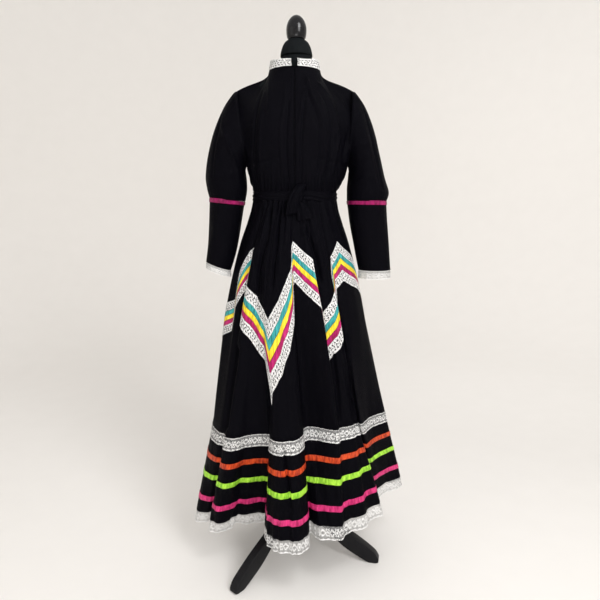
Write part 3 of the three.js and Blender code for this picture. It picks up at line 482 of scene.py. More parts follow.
def bodice_at(column, share, facing, side):
    """A point of the bodice: share is 0 at the waist and 1 at the top, facing -1 for the back."""
    across = np.interp(column, range(len(ACROSS)), ACROSS)
    turn = np.minimum(column / NECK_COLUMN, 1) * math.pi / 2
    along = np.maximum(0, (column - NECK_COLUMN) / (SIDE_COLUMN - NECK_COLUMN))
    top_x = np.where(
        column < NECK_COLUMN, NECK_WIDE * np.sin(turn), mix(NECK_WIDE, SHOULDER_X, along)
    )
    top_y = np.maximum(NECK_DEEP * np.cos(turn), SEAM)
    middle_z = NAPE_Z if facing < 0 else THROAT_Z
    edge_z = mix(WAIST_Z, SHOULDER_Z, share)
    hole = np.clip((edge_z - ARMPIT_Z) / (SHOULDER_Z - ARMPIT_Z), 0, 1)
    edge_y = np.maximum(ARMHOLE_DEEP * np.sqrt(1 - (2 * hole - 1) ** 2), SEAM)
    bulge = outline_at(3 if facing < 0 else 4, mix(WAIST_Z, middle_z, share))
    sideways = np.sin(across * math.pi / 2) ** 0.9
    rounded = np.maximum(np.cos(across * math.pi / 2), 0) ** 0.9
    level = np.cos(math.pi / 2 * sideways**2.5) ** 2
    bow = mix(rounded, level, np.clip((edge_z - ARMPIT_Z) / ARMHOLE_EASE, 0, 1))
    closing = np.clip((share - 0.6) / 0.4, 0, 1) ** 2
    x = mix(outline_at(1, edge_z) * sideways, top_x, closing)
    y = mix(edge_y + (bulge - edge_y) * bow, top_y, closing)
    z = mix(WAIST_Z, bodice_top(x, middle_z), share)
    aside = outline_at(2, edge_z) * sideways * (1 - closing)
    return np.stack([AXIS_X + side * x + aside, AXIS_Y + facing * y, z], -1)


def grid_normals(grid, closed=False):
    """Unit normals of a grid whose rows run down and whose columns run anticlockwise from above."""
    if closed:
        across = np.roll(grid, -1, 1) - np.roll(grid, 1, 1)
    else:
        across = np.gradient(grid, axis=1)
    normal = np.cross(np.gradient(grid, axis=0), across)
    return normal / np.maximum(np.linalg.norm(normal, axis=-1, keepdims=True), 1e-12)


def ridge(at, middle, half, out):
    """How far cloth stands out at a place when a soft fold runs along the middle."""
    return out * np.exp(-(((at - middle) / half) ** 2))


def drawn(grid, folds):
    """How far folds stand off the cloth that faces the back. Each has a half width, a height and
    points x, z down its middle, in millimetres from the pole's axis and the floor."""
    x = (grid[..., 0] - AXIS_X) / MILLIMETRE
    z = grid[..., 2] / MILLIMETRE
    out = np.zeros_like(x)
    for half, height, line in folds:
        line_x, line_z = np.array(line, float).T
        middle = np.interp(-z, -line_z, line_x)
        fade = np.clip((line_z[0] - z) / 18, 0, 1) * np.clip((z - line_z[-1]) / 18, 0, 1)
        out += ridge(x, middle, half, height) * fade**2 * (3 - 2 * fade)
    return out * MILLIMETRE * np.clip((AXIS_Y - grid[..., 1]) / 0.03, 0, 1)


def ripples(share, counts, seed):
    """Uneven small folds round a ring, from -1 to 1: waves that go round it these many times."""
    draw = np.random.default_rng(seed)
    waves = [np.sin(math.tau * count * share + draw.uniform(0, math.tau)) for count in counts]
    return sum(waves) / len(waves)


def cloth(name, grid, paint, wall, closed=False):
    """A piece of cloth from a grid of points on its outside, with its wall inside it. Its UV map
    holds its own lengths, in metres, across and down."""
    rows, columns = grid.shape[:2]
    r, c = np.meshgrid(
        np.arange(rows - 1), np.arange(columns if closed else columns - 1), indexing="ij"
    )
    near, far = c, (c + 1) % columns
    low = r + 1
    corners = np.stack(
        [r * columns + near, low * columns + near, low * columns + far, r * columns + far], -1
    )
    mesh = bpy.data.meshes.new(name)
    mesh.from_pydata(grid.reshape(-1, 3).tolist(), [], corners.reshape(-1, 4).tolist())
    widths = np.linalg.norm(np.roll(grid, -1, 1) - grid, axis=-1).mean(0)
    drops = np.linalg.norm(np.diff(grid, axis=0), axis=-1).mean(1)
    across = np.concatenate([[0], np.cumsum(widths)])
    down = np.concatenate([[0], np.cumsum(drops)])
    lengths = np.stack(
        [across[np.stack([c, c, c + 1, c + 1], -1)], -down[np.stack([r, low, low, r], -1)]], -1
    )
    mesh.uv_layers.new(name="cloth").data.foreach_set("uv", lengths.astype(np.float32).ravel())
    mesh.shade_smooth()
    piece = bpy.data.objects.new(name, mesh)
    bpy.context.collection.objects.link(piece)
    mesh.materials.append(paint)
    solidify = piece.modifiers.new("wall", "SOLIDIFY")
    solidify.thickness = wall
    solidify.offset = -1
    apply_modifiers(piece)
    return piece


def poplin():
    """Black cotton poplin: plain weave of fine threads, slubs in it, and the softest sheen."""
    paint, shader = finish_of(
        "black_poplin", (0.0025, 0.0024, 0.0034), 0.55, Specular_IOR_Level=0.03
    )
    place = node(paint, "UVMap", uv_map="cloth").outputs[0]
    warp = node(
        paint, "TexWave", Vector=place, bands_direction="X", Scale=560.0, Distortion=0.4
    ).outputs["Fac"]
    weft = node(
        paint, "TexWave", Vector=place, bands_direction="Y", Scale=560.0, Distortion=0.4
    ).outputs["Fac"]
    slub = node(
        paint, "TexNoise", Vector=place, Scale=90.0, Detail=5.0, Roughness=0.6
    ).outputs["Fac"]
    colour = between(paint, slub, (0.0008, 0.0007, 0.0016), (0.0020, 0.0018, 0.0034))
    paint.node_tree.links.new(colour, shader.inputs["Base Color"])
    rough = calc(paint, "MULTIPLY_ADD", slub, 0.2, 0.5)
    paint.node_tree.links.new(rough, shader.inputs["Roughness"])
    weave = calc(
        paint, "ADD", calc(paint, "MULTIPLY", warp, weft), calc(paint, "MULTIPLY", slub, 1.5)
    )
    relief(paint, shader, weave, 0.00025, 0.6)
    return paint


def bodice_folds(grid, facing):
    """How far the cloth stands off its plain shape: folds from neck to waist, and gathers above
    the belt."""
    x = grid[..., 0] - AXIS_X
    z = grid[..., 2]
    drop = np.clip((NAPE_Z - z) / (NAPE_Z - WAIST_Z), 0, 1)
    if facing < 0:
        out = drawn(grid, BACK_FOLDS)
    else:
        out = np.zeros_like(x)
        for neck_x, waist_x, half, height in FRONT_PLEATS:
            swell = np.sin(math.pi * np.clip(drop * 0.86 + 0.12, 0, 1)) ** 0.7
            out += ridge(
                x, mix(neck_x, waist_x, drop**0.8), half * (0.8 + 0.5 * drop), height
            ) * swell
    gathers = ripples(x, (61, 83, 104), 3 if facing < 0 else 4)
    out += 0.0030 * gathers * np.exp(-((z - WAIST_Z - 0.016) / 0.045) ** 2) * (z > WAIST_Z)
    out += 0.0011 * ripples(x + 0.25 * z, (7, 11, 17), 5) * np.sin(math.pi * drop)
    return out


black_cloth = poplin()
BODICE_ROWS = np.linspace(1, 0, 91)[:, None]
half_columns = np.linspace(0, SIDE_COLUMN, 85)[None, :]
BODICE = {}
for name, side in [("left", -1), ("right", 1)]:
    columns = half_columns if side > 0 else half_columns[:, ::-1]
    grid = bodice_at(columns + 0 * BODICE_ROWS, BODICE_ROWS + 0 * columns, -1, side)
    from_zip = side * (grid[..., 0] - AXIS_X)
    grid[..., 0] += side * np.maximum(0, 0.0016 - from_zip)
    fade = np.clip((from_zip - 0.003) / 0.012, 0, 1)
    grid += grid_normals(grid) * (bodice_folds(grid, -1) * fade)[..., None]
    placket = ridge(from_zip, 0.0085, 0.0036, 0.0006)
    grid += grid_normals(grid) * placket[..., None]
    BODICE[name] = cloth(f"back_{name}", grid, black_cloth, 0.0009)
    settle(BODICE[name], "black_cloth", f"bodice_back_{name}")
front_rows = BODICE_ROWS[::2]
right_half = bodice_at(half_columns[:, ::-1] + 0 * front_rows, front_rows + 0 * half_columns, 1, 1)
left_half = bodice_at(half_columns + 0 * front_rows, front_rows + 0 * half_columns, 1, -1)
grid = np.concatenate([right_half, left_half[:, 1:]], 1)
grid += grid_normals(grid) * bodice_folds(grid, 1)[..., None]
BODICE["front"] = settle(cloth("front", grid, black_cloth, 0.0009), "black_cloth", "bodice_front")

# ---------------------------------------------------------------- zip
# A closed black coil zip in the centre-back slit: two rows of small moulded teeth that lock on a
# woven tape, with a row of stitches down each side of it.
TOOTH_PITCH = 0.0016
STITCH_PITCH = 0.0036

zip_shares = np.linspace(1, 0, 80)
zip_line = bodice_at(np.zeros(80), zip_shares, -1, 1)


def nylon():
    paint, shader = finish_of("zip_nylon", (0.002, 0.002, 0.003), 0.5, Specular_IOR_Level=0.03)
    place = node(paint, "TexCoord").outputs["Object"]
    wear = node(paint, "TexNoise", Vector=place, Scale=300.0, Detail=2.0).outputs["Fac"]
    colour = between(paint, wear, (0.001, 0.001, 0.002), (0.003, 0.003, 0.004))
    paint.node_tree.links.new(colour, shader.inputs["Base Color"])
    return paint


def spaced(line, pitch):
    """Points at an even pitch along a line of points."""
    run = np.concatenate([[0], np.cumsum(np.linalg.norm(np.diff(line, axis=0), axis=1))])
    at = np.arange(pitch / 2, run[-1], pitch)
    return np.stack([np.interp(at, run, line[:, k]) for k in range(3)], -1)


def repeated(name, size, places, paint):
    """One small bevelled block, copied to all the places in one mesh."""
    bpy.ops.object.select_all(action="DESELECT")
    bpy.ops.mesh.primitive_cube_add(size=1)
    block = bpy.context.object
    block.name = name
    block.scale = size
    bpy.ops.object.transform_apply(scale=True)
    block.modifiers.new("edge", "BEVEL").width = min(size) * 0.3
    apply_modifiers(block)
    corners = np.array([v.co for v in block.data.vertices])
    faces = [list(face.vertices) for face in block.data.polygons]
    points = (corners[None] + np.asarray(places)[:, None]).reshape(-1, 3)
    copies = [[v + k * len(corners) for v in face] for k in range(len(places)) for face in faces]
    mesh = bpy.data.meshes.new(name)
    mesh.from_pydata(points.tolist(), [], copies)
    mesh.materials.append(paint)
    block.data = mesh
    return block


tape_grid = np.stack([zip_line + (side * 0.0029, 0.0006, 0) for side in (-1, -0.3, 0.3, 1)], 1)
settle(cloth("zip_tape", tape_grid, black_cloth, 0.0006), "black_cloth", "zip_chain")
teeth = spaced(zip_line, TOOTH_PITCH)
teeth[:, 0] += np.where(np.arange(len(teeth)) % 2, 0.00055, -0.00055)
settle(repeated("zip_teeth", (0.0034, 0.0012, 0.0011), teeth, nylon()), "zip")
stitches = np.concatenate([spaced(
    zip_line + (side * 0.0088, -0.0011, 0), STITCH_PITCH
) for side in (-1, 1)])
settle(repeated("zip_stitches", (0.0004, 0.0005, 0.0022), stitches, black_cloth), "black_cloth")

# ---------------------------------------------------------------- collar
# A stand collar in two halves that meet at the zip, of doubled poplin, each faced with cotton lace
# whose slanted eyelets show the black behind it. The halves' corners lift a little at the zip.
COLLAR_HIGH = 0.0275
COLLAR_DIP = 0.0078  # how much lower it stands at the back
COLLAR_OPEN = 6.2  # degrees from the zip to each half's end
COLLAR_LEAN = 0.05
WHITE = (0.74, 0.735, 0.725)
LACE_FLECKS = 430.0  # small gaps a metre between the stitches


def cotton_lace():
    """White cotton lace thread: tiny looped stitches with pinholes between, mottled grey by painted
    shade.
    """
    paint, shader = finish_of("white_lace", WHITE, 0.85, Sheen_Weight=0.15)
    place = node(paint, "TexCoord").outputs["Object"]
    loops = node(paint, "TexVoronoi", Vector=place, Scale=1100.0).outputs["Distance"]
    flecks = node(paint, "TexNoise", Vector=place, Scale=LACE_FLECKS, Detail=1.5).outputs["Fac"]
    paint.node_tree.links.new(calc(paint, "GREATER_THAN", flecks, 0.41), shader.inputs["Alpha"])
    # painted shade: random noise mottles the thread's colour from grey to white
    shade = node(paint, "TexNoise", Vector=place, Scale=160.0, Detail=3.0).outputs["Fac"]
    colour = between(paint, shade, (0.46, 0.46, 0.455), (0.84, 0.835, 0.825))
    paint.node_tree.links.new(colour, shader.inputs["Base Color"])
    relief(paint, shader, loops, 0.0003, 0.6)
    return paint


def net():
    """Fine white net, painted grey as shade: six-sided meshes a millimetre and a half wide, open
    between.
    """
    # painted shade: the white thread is given a mid grey colour
    paint, shader = finish_of("white_net", (0.30, 0.30, 0.30), 0.85)
    place = node(paint, "TexCoord").outputs["Object"]
    cells = node(
        paint, "TexVoronoi", Vector=place, feature="DISTANCE_TO_EDGE", Scale=620.0, Randomness=0.35
    )
    thread = calc(paint, "LESS_THAN", cells.outputs["Distance"], 0.11)
    paint.node_tree.links.new(thread, shader.inputs["Alpha"])
    return paint


def eyelets(across, down):
    """Lace with three rows of slanted oval eyelets and corded edges; above 0 there is thread."""
    hole = np.full(across.shape, 9.0)
    for row, slant, shift in [(0.24, 2.2, 0.0), (0.5, -2.2, 0.45), (0.76, 2.2, 0.15)]:
        x = (across + shift) % 1 - 0.5
        y = down - row
        hole = np.minimum(hole, np.hypot((x - slant * y) / 0.22, y / 0.085))
    return hole - 1


def roses(across, down):
    """Lace with a rose and two leaves in each repeat, between a corded top and a scalloped foot."""
    x = across % 1 - 0.5
    y = down - 0.5
    bearing, far = np.arctan2(y, x), np.hypot(x, y)
    petals = 0.27 * (1 + 0.16 * np.cos(6 * bearing)) - far
    rose = np.where((far > 0.105) & (far < 0.155), -0.05, petals)
    form = np.maximum(rose, -9)
    for leaf_x, leaf_y, lean in [
        (-0.42, -0.13, 0.7), (-0.44, 0.16, -0.6), (0.42, -0.15, -0.7), (0.40, 0.17, 0.6)
    ]:
        a = (x - leaf_x) * math.cos(lean) + (y - leaf_y) * math.sin(lean)
        b = -(x - leaf_x) * math.sin(lean) + (y - leaf_y) * math.cos(lean)
        form = np.maximum(form, 0.12 * (1 - np.hypot(a / 0.17, b / 0.075)))
    edges = np.maximum(0.07 - down, down - 0.90 + 0.03 * np.cos(math.tau * 2 * across))
    return np.maximum(form, edges)


cotton, fine_net = cotton_lace(), net()


def lace(name, place, high, wide, motif, closed, lift, step=0.0014, netted=True):
    """A strip of lace on a surface. place(share, down) is the surface, wide the length of one
    repeat. Faces follow the motif's edge; outside it there is fine net, or nothing."""
    samples = np.linspace(0, 1, 6001)
    line = place(samples, np.full_like(samples, 0.5))
    run = np.concatenate([[0], np.cumsum(np.linalg.norm(np.diff(line, axis=0), axis=-1))])
    repeats = max(1, round(run[-1] / wide))
    columns = round(run[-1] / step)
    rows = max(4, round(high / step))
    metres = np.linspace(0, run[-1], columns + 1)[: columns if closed else columns + 1]
    across, down = np.meshgrid(metres, np.linspace(0, high, rows + 1))
    scale = repeats / run[-1]

    def form(across, down):
        return motif(across * scale, down / high)

    nudge = step * 0.2
    value = form(across, down)
    slope_x = (form(across + nudge, down) - value) / nudge
    slope_y = (form(across, down + nudge) - value) / nudge
    steep = np.maximum(np.hypot(slope_x, slope_y), 1e-6)
    near = np.abs(value) / steep < step * 0.5
    across = across - np.where(near, value * slope_x / steep**2, 0)
    down = down - np.where(near, value * slope_y / steep**2, 0)
    down[0], down[-1] = 0, high
    if not closed:
        across[:, 0], across[:, -1] = 0, run[-1]
    grid = place(np.interp(across % run[-1] if closed else across, run, samples), down / high)
    raised = np.clip(value / 0.05, 0, 1) * 0.0004
    grid = grid + grid_normals(grid, closed) * (lift + raised)[..., None]
    count = grid.shape[1]
    r, c = np.meshgrid(np.arange(rows), np.arange(count if closed else count - 1), indexing="ij")
    far = (c + 1) % count
    corners = np.stack(
        [r * count + c, (r + 1) * count + c, (r + 1) * count + far, r * count + far], -1
    )
    middle = form(metres[c] + step / 2, (r + 0.5) / rows * high)
    if netted:
        kept = np.ones(middle.shape, bool)
    else:
        kept = middle > 0
    mesh = bpy.data.meshes.new(name)
    mesh.from_pydata(grid.reshape(-1, 3).tolist(), [], corners[kept].tolist())
    mesh.materials.append(cotton)
    mesh.materials.append(fine_net)
    mesh.polygons.foreach_set("material_index", (middle[kept] <= 0).astype(np.int32))
    mesh.shade_smooth()
    loose = bmesh.new()
    loose.from_mesh(mesh)
    bmesh.ops.delete(loose, geom=[v for v in loose.verts if not v.link_faces], context="VERTS")
    loose.to_mesh(mesh)
    loose.free()
    piece = bpy.data.objects.new(name, mesh)
    bpy.context.collection.objects.link(piece)
    return piece


def collar_at(side, bearing, share):
    """A point of the stand collar: bearing from the zip, share 0 at its foot and 1 at its top."""
    lean = 1 - COLLAR_LEAN * share
    x = NECK_WIDE * np.sin(bearing)
    y = -NECK_DEEP * np.cos(bearing)
    foot = np.where(y < 0, bodice_top(x, NAPE_Z), bodice_top(x, THROAT_Z)) + SEAM
    lift = 0.003 * np.exp(-((bearing / 0.13) ** 2)) - COLLAR_DIP * np.exp(-((bearing / 0.75) ** 2))
    rise = share * (COLLAR_HIGH + lift + 0.0009 * np.sin(7 * bearing + side))
    flare = 1 + 0.05 * share * np.exp(-((bearing / 0.2) ** 2))
    return np.stack([AXIS_X + side * x * lean, AXIS_Y + y * lean * flare, foot + rise], -1)


for name, side in [("left", -1), ("right", 1)]:
    bearings = np.radians(np.linspace(COLLAR_OPEN, 179.7, 71)) * side
    bearings = bearings if side > 0 else bearings[::-1]
    grid = collar_at(
        side, np.abs(bearings)[None, :] + 0 * BODICE_ROWS[:13], np.linspace(1, 0, 13)[:, None]
    )
    piece = settle(
        cloth(f"stand_{name}", grid, black_cloth, 0.0016), "black_cloth", f"collar_{name}"
    )

    def collar_lace_place(share, down, side=side):
        turn = np.radians(mix(COLLAR_OPEN + 0.4, 179.0, share if side > 0 else 1 - share))
        return collar_at(side, turn, mix(0.99, 0.05, down))

    trim = lace(
        f"neck_lace_{name}", collar_lace_place, 0.024, 0.0105, eyelets, False, 0.0006, 0.0010, False
    )
    settle(trim, "white_lace", f"collar_lace_{name}")

# ---------------------------------------------------------------- sleeves
# Leg-of-mutton sleeves: a full upper part gathered at the shoulder and on to a narrow lower part,
# a magenta satin ribbon sewn over that seam, and floral lace hung at the cuff.
SLEEVE_TUCK = 0.007
SLEEVE_FOLDS = [  # as on the back
    (4.5, 4.2, [(-210, 1384), (-192, 1326), (-179, 1291), (-167, 1256), (-162, 1205)]),
    (3.2, -3.4, [(-210, 1410), (-216, 1376), (-225, 1333), (-234, 1292), (-239, 1222)]),
    (
        3.2, -4.0,
        [(188, 1450), (201, 1412), (212, 1367), (224, 1322), (237, 1278), (247, 1236), (257, 1188)]
    ),
    (4.5, 2.6, [(177, 1433), (196, 1370), (208, 1326), (221, 1283), (235, 1204)]),
]
SLEEVES = {  # rings from the top: inner point x, z, outer point x, z, half depth
    "right": {
        "side": 1,
        "upper": [
            (0.1586, 1.262, 0.1728, 1.474, 0.062), (0.1596, 1.258, 0.204, 1.432, 0.067),
            (0.160, 1.252, 0.231, 1.370, 0.069), (0.160, 1.242, 0.251, 1.298, 0.067),
            (0.159, 1.224, 0.267, 1.232, 0.064), (0.156, 1.196, 0.281, 1.188, 0.062),
            (0.157, 1.164, 0.274, 1.162, 0.056),
        ],
        "lower": [
            (0.157, 1.163, 0.274, 1.161, 0.056), (0.166, 1.085, 0.280, 1.085, 0.051),
            (0.181, 1.015, 0.287, 1.015, 0.046), (0.195, 0.955, 0.293, 0.955, 0.042),
        ],
        "lace": 0.025,
        "wrinkles": [
            (1.318, 0.5, 0.010, 0.0032), (1.270, 0.3, 0.009, -0.0030), (1.222, 0.45, 0.010, 0.0034)
        ],
    },
    "left": {
        "side": -1,
        "upper": [
            (0.1446, 1.262, 0.1728, 1.474, 0.062), (0.1456, 1.258, 0.206, 1.430, 0.066),
            (0.146, 1.251, 0.236, 1.366, 0.068), (0.1455, 1.240, 0.256, 1.294, 0.067),
            (0.144, 1.220, 0.265, 1.234, 0.064), (0.144, 1.192, 0.262, 1.198, 0.061),
            (0.150, 1.161, 0.255, 1.172, 0.054),
        ],
        "lower": [
            (0.151, 1.160, 0.255, 1.171, 0.054), (0.164, 1.084, 0.260, 1.092, 0.049),
            (0.180, 1.012, 0.266, 1.030, 0.044), (0.197, 0.954, 0.272, 0.981, 0.040),
        ],
        "lace": 0.020,
        "wrinkles": [
            (1.345, -0.6, 0.011, 0.0034), (1.300, -0.7, 0.010, -0.0030),
            (1.235, -0.3, 0.010, 0.0026)
        ],
    },
}


def satin(name, shade_colour, lit_colour):
    """Satin ribbon: long glossy floats across it, a fine woven edge, painted shade and highlight on
    its puckers.
    """
    paint, shader = finish_of(name, lit_colour, 0.36, Anisotropic=0.5, Specular_IOR_Level=0.22)
    place = node(paint, "UVMap", uv_map="cloth").outputs[0]
    floats = node(
        paint, "TexWave", Vector=place, bands_direction="X", Scale=700.0, Distortion=0.5
    ).outputs["Fac"]
    stretch = node(paint, "Mapping", Vector=place, Scale=(1.0, 0.25, 1.0)).outputs[0]
    pucker = node(paint, "TexNoise", Vector=stretch, Scale=150.0, Detail=3.0).outputs["Fac"]
    # painted shade and painted highlight: the colour runs from the ribbon's shaded colour to its
    # lit colour with the pucker noise
    colour = between(paint, calc(paint, "MULTIPLY_ADD", pucker, 3.0, -1.0), shade_colour, lit_colour)
    paint.node_tree.links.new(colour, shader.inputs["Base Color"])
    height = calc(paint, "MULTIPLY_ADD", pucker, 6.0, floats)
    relief(paint, shader, height, 0.0003, 0.7)
    return paint


# Each satin gets a painted shade colour and a painted lit colour.
MAGENTA_SATIN = satin("magenta_satin", (0.12, 0.002, 0.035), (0.36, 0.007, 0.115))


def sleeve_at(rings, side, row, turn):
    """A point of a sleeve: row is a place down its rings, and -1 the edge tucked into the armhole;
    turn is 0 at the inner side of the arm."""
    in_x, in_z, out_x, out_z, deep = np.moveaxis(through(rings, np.maximum(row, 0)), -1, 0)
    share = (1 - np.cos(turn)) / 2
    x = AXIS_X + side * (mix(in_x, out_x, share) + SLEEVE_TUCK * np.minimum(row, 0))
    return np.stack([x, AXIS_Y - side * deep * np.sin(turn), mix(in_z, out_z, share)], -1)


def ring_turns(count):
    return np.linspace(0, math.tau, count, endpoint=False)[None, :]


for name, sleeve in SLEEVES.items():
    side, upper_rings, lower_rings = sleeve["side"], sleeve["upper"], sleeve["lower"]
    rows = np.concatenate([[-1, -0.05], np.linspace(0, len(upper_rings) - 0.96, 68)])[:, None]
    turns = ring_turns(108) + 0 * rows
    rows = rows + 0 * turns
    grid = sleeve_at(upper_rings, side, rows, turns)
    share = turns / math.tau
    head = np.exp(-np.maximum(rows, 0) / 0.8) * np.clip(rows / 0.25, 0, 1) * np.clip(
        (grid[..., 2] - 1.36) / 0.08, 0, 1
    )
    foot = np.exp(-((rows[-1] - rows) / 0.9))
    out = 0.0028 * head * ripples(share, (29, 41, 53), 11 + side)
    out += 0.0019 * foot * ripples(
        share, (26, 37, 49), 21 + side
    ) * np.clip((rows[-1] - rows) / 0.12, 0, 1)
    out += 0.0020 * np.sin(math.pi * np.maximum(rows, 0) / rows[-1]) * ripples(
        share + 0.03 * rows, (3, 5, 8), 31 + side
    )
    x = side * (grid[..., 0] - AXIS_X)
    seen = np.clip(-(grid[..., 1] - AXIS_Y) / 0.03, 0, 1)
    for wrinkle_z, slope, half, height in sleeve["wrinkles"]:
        reach = np.exp(-(((x - 0.195) / 0.034) ** 2))
        out += ridge(grid[..., 2], wrinkle_z + slope * (x - 0.195), half, height) * reach * seen
    grid = grid + grid_normals(grid, True) * (out + drawn(grid, SLEEVE_FOLDS))[..., None]
    upper = settle(
        cloth(f"puffed_{name}", grid, black_cloth, 0.0009, True), "black_cloth",
        f"sleeve_upper_{name}"
    )

    rows = np.linspace(0, len(lower_rings) - 1, 38)[:, None]
    turns = ring_turns(88) + 0 * rows
    rows = rows + 0 * turns
    grid = sleeve_at(lower_rings, side, rows, turns)
    share = turns / math.tau
    out = 0.0016 * np.exp(-rows / 0.5) * ripples(share, (21, 33, 45), 41 + side)
    out += 0.0022 * np.sin(math.pi * rows / rows[-1]) * ripples(
        share + 0.05 * rows, (2, 3, 5), 51 + side
    )
    grid = grid + grid_normals(grid, True) * out[..., None]
    lower = settle(
        cloth(f"fitted_{name}", grid, black_cloth, 0.0009, True), "black_cloth",
        f"sleeve_lower_{name}"
    )

    def over_seam(share, down):
        return sleeve_at(lower_rings, side, down, share * math.tau)

    across = np.linspace(-0.12, 0.205, 9)[:, None]
    turns = ring_turns(160)
    grid = over_seam(turns / math.tau + 0 * across, across + 0 * turns)
    pucker = 0.0006 * ripples(turns / math.tau, (43, 59, 71), 61 + side) + 0.0017
    grid = grid + grid_normals(grid, True) * (pucker + 0 * across)[..., None]
    ribbon = settle(
        cloth(f"ribbon_{name}", grid, MAGENTA_SATIN, 0.0005, True), "magenta_satin",
        f"sleeve_ribbon_{name}"
    )

    cuff_ring = lower_rings[-1]

    def below_cuff(share, down):
        point = sleeve_at(lower_rings, side, np.full(np.shape(share), 3.0), share * math.tau)
        drop = SEAM + down * sleeve["lace"]
        flare = 0.0016 * down * ripples(share, (9, 14, 19), 71 + side)
        middle = np.array([AXIS_X + side * (cuff_ring[0] + cuff_ring[2]) / 2, AXIS_Y, 0])
        out = (point - middle) * (1, 1, 0)
        out = out / np.linalg.norm(out, axis=-1, keepdims=True)
        return point + out * flare[..., None] - np.stack([0 * drop, 0 * drop, drop], -1)

    cuff = lace(f"wrist_lace_{name}", below_cuff, sleeve["lace"], 0.018, roses, True, 0.0, 0.0010)
    settle(cuff, "white_lace", f"cuff_lace_{name}")

# ---------------------------------------------------------------- skirt
# A long flared skirt of black poplin in four panels, gathered under the belt. It hangs in deep
# uneven folds at the back, and in even ones round the front.
HIP_Z = 1.020
THIGH_Z = 0.820
SEAM_Z = 0.484
HEM_Z = 0.196
OUTLINE_Z = [0.820, 0.891, 0.984, 1.045, 1.106, 1.135, 1.174]
OUTLINE_WIDE = [0.212, 0.199, 0.177, 0.161, 0.139, 0.127, 0.1195]
OUTLINE_DEEP = [0.161, 0.155, 0.143, 0.131, 0.118, 0.106, 0.097]
# One row a crease, from the wearer's left round the back to the right: its angles at hip and thigh,
# how far it stands off the outline there, and its places in plan at the flounce's seam and the hem,
# in degrees and millimetres.
BACK_CREASES = [
    (
        -104, -105, -8, -258, 4, -296, 34
    ), (-90, -90, 2, -258, -36, -318, -16), (-79, -76, 5, -253, -70, -309, -42),
    (
        -70, -61, -4, -236, -106, -290, -50
    ), (-66, -57, 0, -223, -126, -277, -52), (-51, -52.5, -7, -210, -134, -266, -46),
    (-47.5, -49.5, -12, -206, -139, -262, -58), (-43.5, -46.5, 6, -202, -159, -264, -87),
    (
        -39, -42, 8, -184, -168, -238, -111
    ), (-36, -37.5, 0, -161, -162, -208, -98), (-33, -34, -5, -146, -149, -180, -62),
    (-30.5, -30.5, -4, -128, -141, -158, -66), (-28, -27.5, -1, -104, -136, -128, -56),
    (
        -26, -24.8, 2, -74, -141, -95, -56
    ), (-24, -22.8, 6, -74, -163, -89, -146), (-22, -20.5, 8, -60, -190, -72, -187),
    (
        -18, -16.5, 9, -38, -201, -44, -217
    ), (-13.5, -12, 8, -15, -196, -16, -220), (-10.5, -9, 9, -7, -197, -6, -229),
    (
        -7.5, -5, 10, 10, -184, 22, -224
    ), (-5, -1.2, 8, 24, -154, 42, -194), (-3.4, 0.6, -12, 27, -112, 47, -140),
    (
        -1.8, 3, -8, 38, -98, 58, -160
    ), (4, 10, -4, 64, -102, 90, -178), (10, 17, 1, 98, -121, 118, -186),
    (
        15.4, 23, 6, 130, -128, 141, -188
    ), (17, 24.4, -13, 135, -114, 150, -170), (18.7, 26.4, -10, 149, -107, 161, -162),
    (
        23, 30, -7, 166, -101, 191, -152
    ), (27, 34, -4, 178, -93, 216, -142), (30, 36.6, -5, 184, -85, 230, -116),
    (
        32.2, 38.6, -4, 192, -84, 276, -80
    ), (34, 40, -12, 195, -76, 268, -14), (36, 41.6, -1, 202, -88, 280, 6),
    (
        50, 46.5, 1, 219, -62, 302, 30
    ), (58, 58, 2, 234, -36, 330, 50), (71, 71, 3, 260, -12, 352, 66),
    (88, 88, 3, 293, 18, 370, 86), (104, 104, -6, 264, 50, 326, 104),
]
FRONT_FOLDS = 7
BACK_FINER = 1.7
FRONT_FROM, FRONT_TO = 113.5, 246.5
FRONT_SEAM = {"x": 10, "wide": 270, "deep": 176, "turn": 5, "crest": 14, "valley": -22}
FRONT_HEM = {"x": 22, "wide": 330, "deep": 200, "turn": 8, "crest": 30, "valley": -38}
SKIRT_FOLDS = [  # as on the back
    (3.6, -6.0, [(-91, 1156), (-100, 1108), (-112, 1065), (-124, 1016)]),
    (4, 3.2, [(-76, 1156), (-88, 1094), (-99, 1038), (-108, 973)]),
    (4.4, -8.0, [(-64, 1150), (-70, 1094), (-78, 1052), (-93, 1007), (-102, 962), (-108, 882)]),
    (4, 3.2, [(-53, 1150), (-58, 1094), (-67, 1053), (-78, 1002), (-84, 941), (-87, 856)]),
    (4.0, -7.5, [(-38, 1148), (-44, 1095), (-49, 1040), (-58, 984), (-64, 909)]),
    (4, 3.2, [(-24, 1150), (-33, 1095), (-38, 1040), (-44, 957)]),
    (5.0, -8.5, [(18, 1114), (35, 1081), (49, 1039), (61, 1003), (78, 926)]),
    (4.4, 3.0, [(40, 1126), (55, 1075), (69, 1025), (86, 954)]),
    (4.5, -9.0, [(-165, 749), (-171, 700), (-184, 623), (-193, 563), (-203, 492)]),
    (3.8, -9.0, [(-33, 482), (-30, 455), (-20, 360), (-9, 262)]),
    (4.2, -8.0, [(112, 734), (118, 687), (128, 609), (136, 500)]),
    (4.0, -7.0, [(153, 790), (160, 744), (168, 649), (177, 516)]),
]
